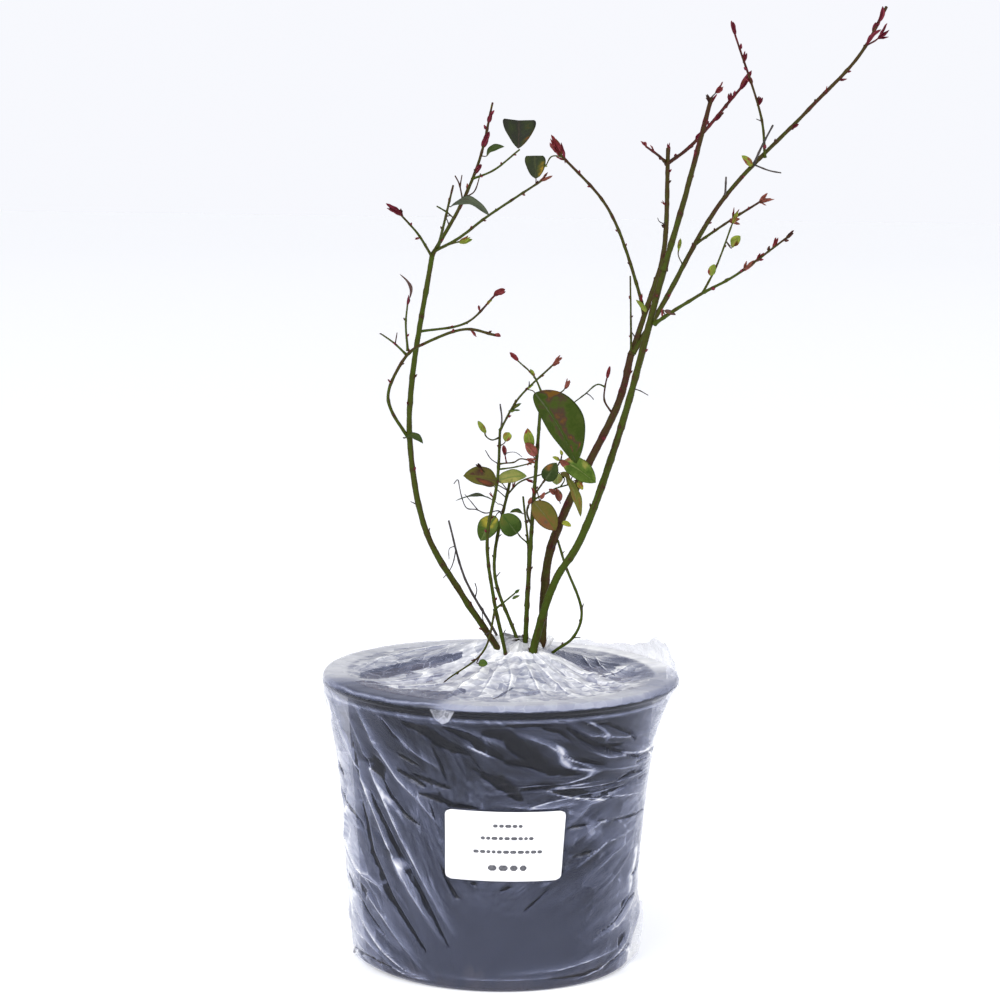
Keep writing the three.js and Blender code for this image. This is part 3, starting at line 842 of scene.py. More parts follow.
def near_line(angle, z, places, margin):
    """Indices of the points within a margin of a line's box, and their angles beside it."""
    middle = (min(p[0] for p in places) + max(p[0] for p in places)) / 2
    facing = (angle - middle + 180) % 360 - 180 + middle
    inside = (facing * ARC > min(p[0] for p in places) * ARC - margin)
    inside &= (facing * ARC < max(p[0] for p in places) * ARC + margin)
    inside &= (z > min(p[1] for p in places) - margin)
    inside &= (z < max(p[1] for p in places) + margin)
    at = np.nonzero(inside)[0]
    return at, facing[at]


def stand_off(z, angle):
    """How far the film hangs off the wall, as the CAD has it. angle is from +X, in radians."""
    lip_step = LIP_RADIUS - wall_radius(LIP_MIDDLE[1])
    left = (0.5 - 0.5 * np.cos(angle)) ** 4
    loose = 5.8 * left * (1 - np.exp(-z / 3))
    tent = (lip_step - loose) * np.exp(-(LIP_MIDDLE[1] - z) / (20 + 6 * left))
    corner = 4 * np.exp(-((angle - 0.08) ** 2) / 0.03 - ((z - 24) / 12) ** 2)
    return loose + tent + corner


def label_cover(degrees, z):
    """1 under the label, where the film is smooth, and 0 away from it."""
    across = degrees * ARC - LABEL["x"]
    side = smooth_step(LABEL["width"] / 2 + 3, LABEL["width"] / 2 - 1, np.abs(across))
    tall = smooth_step(LABEL["height"] / 2 + 3, LABEL["height"] / 2 - 1, np.abs(z - LABEL["z"]))
    return side * tall


def fold_grain(degrees, z):
    """Millimetres across and along the run of the folds, and how far forward they are. They fan out
    down from the lip on the left and rise towards the right, and run level at the sides."""
    facing = np.where(degrees > 90, 180 - degrees, degrees)
    x = MIDDLE_RADIUS * np.sin(np.radians(degrees))
    depth = MIDDLE_RADIUS * np.cos(np.radians(degrees))
    left = smooth_step(5, -40, facing)
    high = smooth_step(98, 122, z) * (1 - left)
    low = (1 - left) * (1 - smooth_step(98, 122, z))
    across = left * (0.80 * x + 0.60 * z) + high * (0.35 * x + 0.94 * z) + low * (-0.55 * x + 0.84 * z)
    along = left * (0.60 * x - 0.80 * z) + high * (0.94 * x - 0.35 * z) + low * (0.84 * x + 0.55 * z)
    return across, along, depth


def sleeve_folds(degrees, z, keep):
    """The drawn folds of the front, and the seeded ones of the sides and back."""
    folds = Folds(len(z))
    seeded_ridges, seeded_clings = seeded_folds()
    for width, places in CLINGS + seeded_clings:
        at, facing = near_line(degrees, z, places, 3 * width)
        away, share = line_distance(facing * ARC, z[at], [(a * ARC, h) for a, h in places])
        folds.add_cling(at, away, share, width, keep[at])
    for height, width, milk, places in RIDGES + seeded_ridges:
        at, facing = near_line(degrees, z, places, 5 * width)
        away, share = line_distance(facing * ARC, z[at], [(a * ARC, h) for a, h in places])
        folds.add_ridge(at, away, share, height, width, milk, keep[at])
    return folds


def add_fine_folds(folds, zone, grain, place, lens_grain):
    """Small clear lenses between the drawn folds, and creases on which the film's material paints highlights
    and shadow lines, where the zone is high.
    """
    lens = noise(lens_grain, 4.5, 31) - 0.83
    folds.cling = np.maximum(folds.cling, np.where(zone > 0.4, np.clip(lens * 9, -1, 1), -1))
    swell = (noise(grain, 12, 32) - 0.5) * 8
    strength = smooth_step(0.42, 0.75, noise(place, 17, 33)) * 0.85 * zone
    close = np.clip(1 - np.abs(swell) / 2.4, 0, 1) * strength
    nearer = np.abs(swell) < np.abs(folds.line)
    folds.near = np.where(nearer, close, folds.near)
    folds.line = np.where(nearer, np.clip(swell, -4, 4), folds.line)


def slope_light(off, turn, heights, ahead):
    """How far a fold faces the light above and beside it, from -1 to 1. It is used as painted shading: film
    on a fold that faces up is made hazier and lighter, and film on a fold that faces down clearer and darker.
    """
    table = off.reshape(len(heights), len(turn))
    fall = -np.gradient(table, heights, axis=0).ravel()
    spacing = np.radians((np.roll(turn, -1) - np.roll(turn, 1)) % 360) * SLEEVE_RADIUS
    swing = ((np.roll(table, -1, axis=1) - np.roll(table, 1, axis=1)) / spacing).ravel()
    return np.tanh(1.6 * (fall - 0.35 * swing * np.sign(90 - ahead)))


def sleeve_base(degrees, z):
    """The haze of the wall's film without its folds, thin in front. It is whiter at the left and right sides,
    where the film is seen edge-on from the front, which is painted sheen; darker towards the top, most in
    front; and a little hazier at the back.
    """
    # Painted sheen: the sides of the film, seen edge-on from the front, are made hazier and whiter.
    left_sheen = smooth_step(-58, -76, degrees) + smooth_step(246, 262, degrees)
    right_sheen = smooth_step(48, 82, degrees) * smooth_step(150, 110, degrees)
    base = 0.085 - 0.015 * smooth_step(85, 120, z) + 0.25 * np.clip(left_sheen, 0, 1) + 0.15 * right_sheen
    base = base - 0.03 * smooth_step(105, 122, z) * smooth_step(60, 40, np.abs(degrees))
    return base + 0.05 * smooth_step(90, 150, degrees) * smooth_step(262, 200, degrees)


def make_sleeve():
    """The film round the wall: hung from the lip, creased, and sucked to the plastic in places."""
    front = np.linspace(-90, 90, FRONT_COLUMNS + 1)
    back = np.linspace(90, 270, BACK_COLUMNS + 1)
    turn = np.concatenate([front, back[1:-1]])
    heights = np.concatenate([[0.25, 0.3, 0.7], np.linspace(1.6, LIP_MIDDLE[1], SLEEVE_ROWS - 2)])
    degrees, z = (grid.ravel() for grid in np.meshgrid(turn, heights))
    angle = np.radians(degrees) - math.pi / 2
    angle = np.arctan2(np.sin(angle), np.cos(angle))
    hung = stand_off(z, angle)
    direction = ring_of(angle, 1)
    place = direction * wall_radius(z)[:, None] + z[:, None] * UP
    across, along, depth = fold_grain(degrees, z)
    grain = np.stack([across, along * 0.22, depth * 0.3], axis=1)
    near_lip = smooth_step(LIP_MIDDLE[1] - 3, LIP_MIDDLE[1] - 9, z)
    calm = 1 - label_cover(degrees, z)
    ahead = np.abs(degrees)
    smooth = smooth_step(62, 35, z) * smooth_step(48, 25, np.abs(degrees - 2))
    slack = (0.45 + 0.55 * smooth_step(25, 75, ahead)) * (1 - 0.85 * smooth)
    slack = slack * (1 - 0.6 * smooth_step(62, 88, degrees) * smooth_step(140, 85, degrees))
    waves = 0.75 * crease(grain, 13, 3) + 0.40 * crease(grain, 6, 4) + 0.22 * crease(place, 5, 6)
    waves = waves * near_lip * slack * (0.3 + 0.7 * calm)
    folds = sleeve_folds(degrees, z, near_lip * calm)
    zone = near_lip * calm * (1 - smooth) * (1 - 0.75 * smooth_step(60, 40, z) * smooth_step(75, 55, ahead))
    add_fine_folds(folds, zone, grain, place, np.stack([across, along * 0.14, depth * 0.25], axis=1))
    lip_low = LIP_MIDDLE[1] - 3.0 - 1.6 * smooth_step(-60, -30, degrees)
    lip_band = smooth_step(lip_low, lip_low + 1.2, z) * smooth_step(90, 84, np.abs(degrees + 12))
    folds.cling = np.maximum(folds.cling, 2 * lip_band - 1)
    held = smooth_step(-0.3, 0.4, folds.cling) * near_lip
    off = FILM_OFF + hung * (0.92 + 0.16 * noise(grain, 12, 9)) + waves
    off = off - held * np.minimum(off - CLING_OFF, 1.6) + folds.lift
    foot = smooth_step(FOOT_TUCK, 0.2, z)
    tuck = FOOT_BEVEL * (1 - np.sqrt(np.clip(z / FOOT_TUCK, 0, 1)))
    off = off * (1 - foot) + foot * (FILM_OFF - tuck)
    roll = smooth_step(LIP_MIDDLE[1] - 2.5, LIP_MIDDLE[1], z)
    off = off * (1 - roll) + (LIP_RADIUS + 0.3 - wall_radius(z)) * roll
    # Painted shading: the haze is raised on folds that face the light above, and lowered on folds that face
    # down.
    painted_shading = slope_light(off, turn, heights, ahead)
    haze = sleeve_base(degrees, z) * (1 + 0.65 * painted_shading * (1 - 0.7 * smooth))
    haze = haze + 0.04 * (waves - 0.4) + folds.haze * 0.5
    haze = haze * (1 - 0.95 * roll)
    lip_line = np.exp(-((z - (LIP_MIDDLE[1] - 5.5)) / 0.9) ** 2)
    haze = haze + 0.20 * lip_line * (1 - smooth_step(60, 85, ahead) * (degrees > 0))
    batch = Batch()
    points = direction * (wall_radius(z) + off)[:, None] + z[:, None] * UP
    batch.add(points, grid_faces(len(heights) - 1, len(turn), wraps=True), tone=np.clip(haze, 0, 1),
              across=across, along=along, deep=depth * 0.05, cling=folds.cling, line=folds.line,
              near=folds.near, streak=1 - 0.85 * smooth)
    finish = film_material("film_wall", body=0.40, clear=0.87, sheen=0.40, facets=(0.075, 0.022, 1),
                           streaks=(0.33, 0.05, 1), glint=0.2)
    sleeve = batch.object("film_wall", [finish])
    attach(sleeve, "root")
    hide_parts("film_sleeve")


make_sleeve()


# ------------------------------------------------------------------ film over the top

TOP_COLUMNS = 560

# Folds of the film over the compost, seen from above: (height, width, haze, places in x and y).
TOP_RIDGES = [
    (1.2, 2.0, 0.25, [(-79, -14), (-76, 3), (-65, 29), (-46, 60)]),
    (1.5, 2.5, 0.35, [(-78, 8), (-72, 20), (-62, 30), (-47, 40), (-26, 28), (-12, 11)]),
    (2.0, 4.0, 0.30, [(-79, -32), (-66, -28), (-50, -20), (-34, -18), (-20, -20)]),
    (1.2, 2.0, 0.30, [(-76, -36), (-62, -38), (-40, -36), (-18, -34)]),
    (0.8, 1.0, 0.35, [(-44, -40), (-47, -60), (-50, -72)]),
    (2.5, 3.5, 0.50, [(-7, -9), (-11, -30), (-18, -44), (-25, -64), (-29, -80)]),
    (1.5, 2.0, 0.30, [(0, -14), (-4, -40), (-12, -78)]),
    (1.2, 2.0, 0.30, [(4, -16), (6, -40), (2, -80)]),
    (1.5, 2.2, 0.30, [(12, -16), (18, -44), (24, -78)]),
    (1.2, 1.8, 0.30, [(18, -15), (30, -44), (42, -72)]),
    (1.0, 1.6, 0.30, [(24, -12), (40, -34), (62, -54)]),
    (2.2, 4.5, 0.50, [(28, -14), (43, -15), (53, -5), (63, 11), (70, 25), (77, 32)]),
    (1.0, 2.0, 0.20, [(30, -28), (47, -34), (64, -8), (80, 6)]),
    (0.8, 1.5, 0.20, [(36, -44), (56, -30), (74, -14)]),
    (1.0, 1.8, 0.20, [(46, -60), (60, -44), (76, -26)]),
    (1.5, 1.2, 0.60, [(44, 36), (47, 18), (50, 4)]),
    (1.2, 1.0, 0.50, [(52, 40), (54, 22), (58, 8)]),
    (1.0, 1.0, 0.40, [(35, 44), (35, 4)]),
]

# Where that film is clear, and the compost shows: (half width, places in x and y).
TOP_WINDOWS = [
    (11, [(-72, -18), (-66, -6), (-56, 4), (-44, 4), (-32, 1), (-23, -2)]),
    (3, [(-76, -34), (-64, -30)]),
    (15, [(-66, -42), (-56, -53), (-44, -60), (-32, -63), (-22, -60)]),
    (19, [(34, 8), (46, 16), (58, 26)]),
    (1.0, [(-4, -76), (2, -64), (7, -54)]),
]


def top_height(phi, inside):
    """The film's height over the compost, by its bearing and its share of the way to the lip."""
    sin = np.sin(phi)
    front = np.clip(-sin, 0, 1) ** 2
    back_right = np.clip(np.cos(phi - 0.9), 0, 1) ** 6
    back_left = np.clip(np.cos(phi - 2.2), 0, 1) ** 4
    sag = 8 + (3.5 - 8) * front - 5 * back_right - 6 * back_left
    mouth = MOUTH["height"] + 6 * np.clip(sin, 0, 1) ** 2 + 7 * np.clip(np.cos(phi - 2.8), 0, 1) ** 4
    lip_top = LIP_MIDDLE[1] + FILM_ROLL
    return mouth * (1 - inside) + lip_top * inside - sag * np.sin(math.pi * inside)


def rim_haze(front, over, spoke):
    """The film's haze over the lip, by the angle from the front: bare at the left of the front."""
    bare = smooth_step(-72, -58, front) * smooth_step(-16, -24, front)
    crinkle = np.exp(-((over - 0.66 - 0.2 * noise(spoke, 6, 27)) / 0.09) ** 2) * bare
    haze = 0.28 + 0.20 * smooth_step(-24, -12, front) * smooth_step(75, 45, front) + 0.32 * crinkle
    haze -= 0.20 * bare
    haze += 0.16 * smooth_step(-68, -80, front) * smooth_step(-125, -105, front)
    haze += 0.14 * smooth_step(60, 90, np.abs(front)) + 0.10 * smooth_step(95, 130, np.abs(front))
    haze += 0.35 * smooth_step(88, 105, front) * smooth_step(175, 150, front)
    return haze * (1 - 0.3 * np.clip(over * 2 - 1, 0, 1))


def make_film_top():
    """The film over the compost: gathered at the canes, pleated out to the lip and over it."""
    turn = all_round(TOP_COLUMNS) - 1.5 * math.pi
    rows = [np.linspace(-0.25, 0, 12)[:-1], np.linspace(0, 1, 104), np.linspace(1, 2, 24)[1:]]
    rows = np.concatenate(rows)
    phi, u = (grid.ravel() for grid in np.meshgrid(turn, rows))
    cos = np.cos(phi)
    sin = np.sin(phi)
    inside = np.clip(u, 0, 1)
    over = np.clip(u - 1, 0, 1)
    neck = np.clip(-u / 0.25, 0, 1)
    reach = inside ** 0.9
    narrow = 1 - 0.45 * neck
    x = (MOUTH["x"] + MOUTH["half_width"] * cos * narrow) * (1 - reach) + TENT_RADIUS * cos * reach
    y = (MOUTH["y"] + MOUTH["half_depth"] * sin * narrow) * (1 - reach) + TENT_RADIUS * sin * reach
    z = top_height(phi, inside) + 3.5 * neck
    flat = np.clip(over * 2, 0, 1)
    bend = np.clip(over * 2 - 1, 0, 1) * math.pi / 2
    lip_r = TENT_RADIUS + (LIP_MIDDLE[0] - TENT_RADIUS) * flat + FILM_ROLL * np.sin(bend)
    x = np.where(u > 1, lip_r * cos, x)
    y = np.where(u > 1, lip_r * sin, y)
    z = np.where(u > 1, LIP_MIDDLE[1] + FILM_ROLL * np.cos(bend), z)
    free = np.sin(math.pi * np.clip(0.1 + 0.9 * inside, 0, 1)) * (u <= 1)
    cone = smooth_step(-0.1, 0.55, -sin) * smooth_step(-0.75, -0.30, cos)
    plan = np.stack([x, y, 0 * x], axis=1)
    spoke = np.stack([cos * 60, sin * 60, inside * 14], axis=1)
    pleats = 2.2 * crease(spoke, 13, 21) + 1.4 * crease(spoke, 6, 22)
    crush = crease(plan, 9, 24) + 0.6 * crease(plan, 4.5, 25)
    z += (pleats - 1.8) * free * (0.45 + 0.75 * cone) + 1.1 * (crush - 0.8) * free * (0.3 + 0.7 * cone)
    z += 0.5 * crease(spoke, 4, 26) * np.clip(over * 6, 0, 1) * (1 - np.clip(over * 2 - 1, 0, 1))
    folds = Folds(len(z))
    middle = np.nonzero(u <= 1.1)[0]
    for width, places in TOP_WINDOWS:
        away, share = line_distance(x[middle], y[middle], places)
        folds.add_cling(middle, away, share, width, np.ones(len(middle)))
    for height, width, milk, places in TOP_RIDGES:
        away, share = line_distance(x[middle], y[middle], places)
        folds.add_ridge(middle, away, share, height * 0.8, width, milk * 0.8, free[middle] ** 0.4)
    z += folds.lift
    front = (np.degrees(phi) + 90 + 180) % 360 - 180
    ahead = smooth_step(96, 84, np.abs(front))
    rim_cling = np.clip((over - 0.95) * 6, -1, 1) * ahead - 1 * (1 - ahead)
    at_tent = folds.cling * (over < 0.1) - (over >= 0.1)
    folds.cling = np.where(u > 1, np.maximum(rim_cling, at_tent), folds.cling)
    # Painted shading: the film's haze is raised where its pleats face the light, across and down their slope,
    # and lowered where they face away.
    table = z.reshape(len(rows), TOP_COLUMNS)
    swing = (np.roll(table, -1, axis=1) - np.roll(table, 1, axis=1)).ravel()
    fall = np.gradient(table, axis=0).ravel()
    painted_shading = np.tanh(1.2 * swing * np.sign(cos + 0.3)) * 0.5 + np.tanh(2.0 * fall) * 0.3
    base = 0.28 + 0.09 * smooth_step(0.1, -0.6, cos) + 0.06 * cone
    base += 0.2 * neck + 0.22 * np.exp(-(inside / 0.16) ** 2)
    base += 0.10 * smooth_step(0.2, 0.9, cos) * smooth_step(0.2, -0.5, sin)
    haze = base * (1 + 0.5 * painted_shading * (u <= 1)) + 0.10 * (pleats - 2.0) + 0.09 * (crush - 0.8) + folds.haze
    blend = smooth_step(0.0, 0.12, over)
    haze = haze * (1 - blend) + rim_haze(front, over, spoke) * blend
    batch = Batch()
    faces = grid_faces(len(rows) - 1, TOP_COLUMNS, wraps=True, flip=True)
    batch.add(np.stack([x, y, z], axis=1), faces, tone=np.clip(haze, 0, 0.95), cling=folds.cling,
              across=x, along=inside * 70 + over * 14, deep=y, line=folds.line, near=folds.near,
              streak=0.62 - 0.47 * blend)
    finish = film_material("film_cover", body=0.08, clear=0.66, sheen=0.25, facets=(0.15, 0.06, 0.15),
                           streaks=(0.18, 0.06, 0.18), glint=0.45, crumple=0.50)
    top = batch.object("film_cover", [finish])
    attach(top, "root")
    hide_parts("film_top")


make_film_top()


# ------------------------------------------------------------------ loose ends of the film


def around(front, radius, z):
    """A place by its angle from the pot's front, its radius and its height."""
    angle = math.radians(front - 90)
    return (radius * math.cos(angle), radius * math.sin(angle), z)


def spaced(route, count):
    """That many even steps along a smooth line through the route."""
    line = smooth_line(route, 0.5)
    run = np.linspace(0, len(line) - 1, count + 1)
    return np.stack([np.interp(run, np.arange(len(line)), line[:, k]) for k in range(3)], axis=1)


# Millimetres of loose film to a step of its grid, for its noise and its finish.
SHEET_STEP = 0.9


def film_sheet(batch, net, rows, columns, crumple, haze, seed):
    """A loose crumpled piece of film through a net of places, ragged along its last edge."""
    long = np.array([spaced(route, columns) for route in net])
    if len(net) == 2:
        share = np.linspace(0, 1, rows + 1)[:, None, None]
        points = long[0] * (1 - share) + long[1] * share
    else:
        points = np.array([spaced(long[:, j], rows) for j in range(columns + 1)]).transpose(1, 0, 2)
    steps = np.arange(columns + 1) * SHEET_STEP
    ragged = noise(np.stack([steps, 0 * steps, 0 * steps], axis=1), 9, seed)
    share = np.linspace(0, 1, rows + 1)[:, None]
    points += (points[:1] - points) * (0.4 * share ** 2 * (1 - ragged) ** 1.5)[..., None]
    down = np.gradient(points, axis=0)
    right = np.gradient(points, axis=1)
    normal = np.cross(down, right)
    normal /= np.maximum(np.linalg.norm(normal, axis=2), 1e-9)[..., None]
    flat = points.reshape(-1, 3)
    wrinkle = crease(flat * [1, 1, 0.45], 7, seed + 1) + 0.5 * crease(flat, 3.5, seed + 2)
    points += normal * (crumple * (wrinkle.reshape(points.shape[:2]) - 0.8))[..., None]
    run = np.broadcast_to(steps, points.shape[:2]).ravel()
    rise = np.broadcast_to(np.arange(rows + 1)[:, None] * SHEET_STEP, points.shape[:2]).ravel()
    tone = np.clip(haze * (0.4 + wrinkle * 0.8), 0, 1)
    still = np.zeros(len(flat))
    batch.add(points.reshape(-1, 3), grid_faces(rows, columns), tone=tone, across=run, along=rise, deep=still,
              cling=still - 1, line=still + 4, near=still, streak=still + 0.7)


def round_mouth(degrees, right, back, rise, tilt=0.0):
    """Places on an oval round the canes, that far over the film's mouth."""
    turn = np.radians(degrees)
    height = MOUTH["height"] + rise + tilt * np.sin(turn)
    return np.stack([MOUTH["x"] + right * np.cos(turn), MOUTH["y"] + back * np.sin(turn), height], axis=1)


def make_loose_film():
    """The bag's ends: a ragged collar standing behind the lip on the right with a skirt under it, a
    flap over the lip in front, two corners at the foot, and a ruff and a plug round the canes."""
    batch = Batch()
    rim = LIP_RADIUS + 0.7
    foot = WALL_FOOT_RADIUS + 0.6
    collar = [(76, 155), (82, 158), (90, 166), (97, 172), (105, 170), (114, 168), (124, 162),
              (134, 162), (146, 161), (158, 157)]
    skirt = [(66, 150), (74, 144), (82, 138), (90, 137), (98, 140), (108, 146), (118, 150)]
    nets = [
        ([[(front, LIP_RADIUS + 0.5, LIP_MIDDLE[1]) for front, _ in collar],
          [(front, LIP_RADIUS - 1.0, (LIP_MIDDLE[1] + z) / 2) for front, z in collar],
          [(front, LIP_RADIUS - 6, z + 1.5) for front, z in collar]], 22, 120, 1.6, 0.24, 40),
        ([[(front, LIP_RADIUS + 0.6, LIP_MIDDLE[1]) for front, _ in skirt],
          [(front, LIP_RADIUS - 0.6, z) for front, z in skirt]], 18, 80, 1.2, 0.12, 50),
        ([[(-22, rim, 153.5), (-18, rim + 0.2, 154), (-14, rim, 153.5)],
          [(-20, rim, 147.5), (-18, rim, 146.5), (-16, rim, 147.5)]], 10, 16, 0.4, 0.20, 60),
        ([[(93, foot + 2, 30), (90, foot + 1, 18), (80, foot, 5), (66, foot, 1)],
          [(92, foot + 8, 30), (91, foot + 8.5, 20), (84, foot + 6.5, 7), (70, foot + 2, 0.6)]],
         16, 44, 0.4, 0.55, 70),
        ([[(-84, foot + 6, 12), (-88, foot + 5, 6), (-92, foot + 4, 2)],
          [(-80, foot + 4, 9), (-82, foot + 7, 4), (-86, foot + 6, 0.6)]], 8, 16, 0.9, 0.5, 71),
    ]
    for net, rows, columns, crumple, haze, seed in nets:
        routes = [[around(*place) for place in route] for route in net]
        film_sheet(batch, routes, rows, columns, crumple, haze, seed)
    ruff = np.arange(-10, 200, 14)
    film_sheet(batch, [round_mouth(ruff, 14, 11, 3), round_mouth(ruff, 19, 15, 11)], 14, 90, 1.6, 0.22, 80)
    plug = np.arange(0, 361, 20)
    film_sheet(batch, [round_mouth(plug, 11.5, 9.2, 5.6, 2.6), round_mouth(plug, 2, 1.5, 9)],
               12, 80, 1.5, 0.42, 90)
    finish = film_material("film_loose", body=0.0, clear=0.9, sheen=0.30, facets=(0.20, 0.14, 1),
                           streaks=(0.25, 0.12, 1), glint=0.3, crumple=0.5, pale=0.6)
    loose = batch.object("film_loose", [finish])
    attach(loose, "root")


make_loose_film()


# ------------------------------------------------------------------ label


def label_point(right, up, proud):
    """A place on the label, by millimetres from its middle, and how far it is proud of the film."""
    x = LABEL["x"] + right * math.cos(LABEL["turn"]) + up * math.sin(LABEL["turn"])
    z = LABEL["z"] + up * math.cos(LABEL["turn"]) - right * math.sin(LABEL["turn"])
    angle = -math.pi / 2 + x / wall_radius(LABEL["z"])
    lift = 0.25 * noise(np.stack([x, 0 * x, z], axis=1), 14, 31)
    r = wall_radius(z) + stand_off(z, angle) + 1.0 + lift + proud
    return np.stack([r * np.cos(angle), r * np.sin(angle), z], axis=1)


def label_patch(batch, left, bottom, width, height, corner, proud, depth, columns, rows):
    """A thin closed patch on the label's face, with rounded corners."""
    up = np.linspace(0, height, rows + 1)
    past = np.maximum(0, np.abs(up - height / 2) - height / 2 + corner)
    inset = corner - np.sqrt(np.maximum(0, corner ** 2 - past ** 2))
    shares = np.linspace(-0.5, 0.5, columns + 1)
    right = left + width / 2 + shares[None] * (width - 2 * inset)[:, None]
    up = np.broadcast_to(bottom + up[:, None], right.shape)
    front = label_point(right.ravel(), up.ravel(), proud)
    back = label_point(right.ravel(), up.ravel(), proud - depth)
    count = len(front)
    faces = grid_faces(rows, columns)
    outline = [np.arange(columns + 1), (np.arange(1, rows + 1) + 1) * (columns + 1) - 1]
    outline += [rows * (columns + 1) + np.arange(columns)[::-1], np.arange(1, rows)[::-1] * (columns + 1)]
    loop = np.concatenate(outline)
    after = np.roll(loop, -1)
    edge = np.stack([after, loop, loop + count, after + count], axis=1)
    batch.add(np.vstack([front, back]), np.vstack([faces, faces[:, ::-1] + count, edge]))


# Rows of dashes on the label: how high over its middle, how long, and how tall a dash is.
DASH_ROWS = [(10.3, 15, 1.7), (3.6, 27, 1.7), (-3.7, 34, 1.7), (-13.0, 19, 3.0)]


def make_label():
    """A white paper label, and rows of grey dashes in place of its words."""
    paper, tree, shader, place = nodes_of("label_paper")
    fibres = noise_node(tree, place, 700, detail=5.0)
    tone = ramp_node(tree, fibres, [(0.3, (0.86, 0.86, 0.88)), (0.7, (0.93, 0.93, 0.94))])
    set_inputs(tree, shader, {"Base Color": tone, "Roughness": 0.42})
    bump_node(tree, shader, fibres, 0.15, 0.0001)
    batch = Batch()
    width = LABEL["width"]
    height = LABEL["height"]
    label_patch(batch, -width / 2, -height / 2, width, height, LABEL["corner"], 0.3, 0.25, 60, 40)
    label = batch.object("label_card", [paper])
    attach(label, "root")
    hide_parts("label")
    rng = np.random.default_rng(8)
    ink = Batch()
    for bottom, length, tall in DASH_ROWS:
        right = -length / 2 + 1
        while right < length / 2:
            dash = tall * rng.uniform(1.1, 1.9)
            label_patch(ink, right, bottom, dash, tall, tall * 0.35, 0.34, 0.08, 3, 3)
            right += dash + tall * rng.uniform(0.30, 0.42)
    print_ink = mottled("label_ink", (0.060, 0.060, 0.072), (0.130, 0.130, 0.145), 0.6, 900)
    dashes = ink.object("label_dashes", [print_ink])
    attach(dashes, "root")


make_label()


# ------------------------------------------------------------------ canes

# Tone of plain green bark at a limb's start and end: 0 is green, 0.4 olive, 0.7 brown, 1 red.
GREEN = (0.12, 0.22)

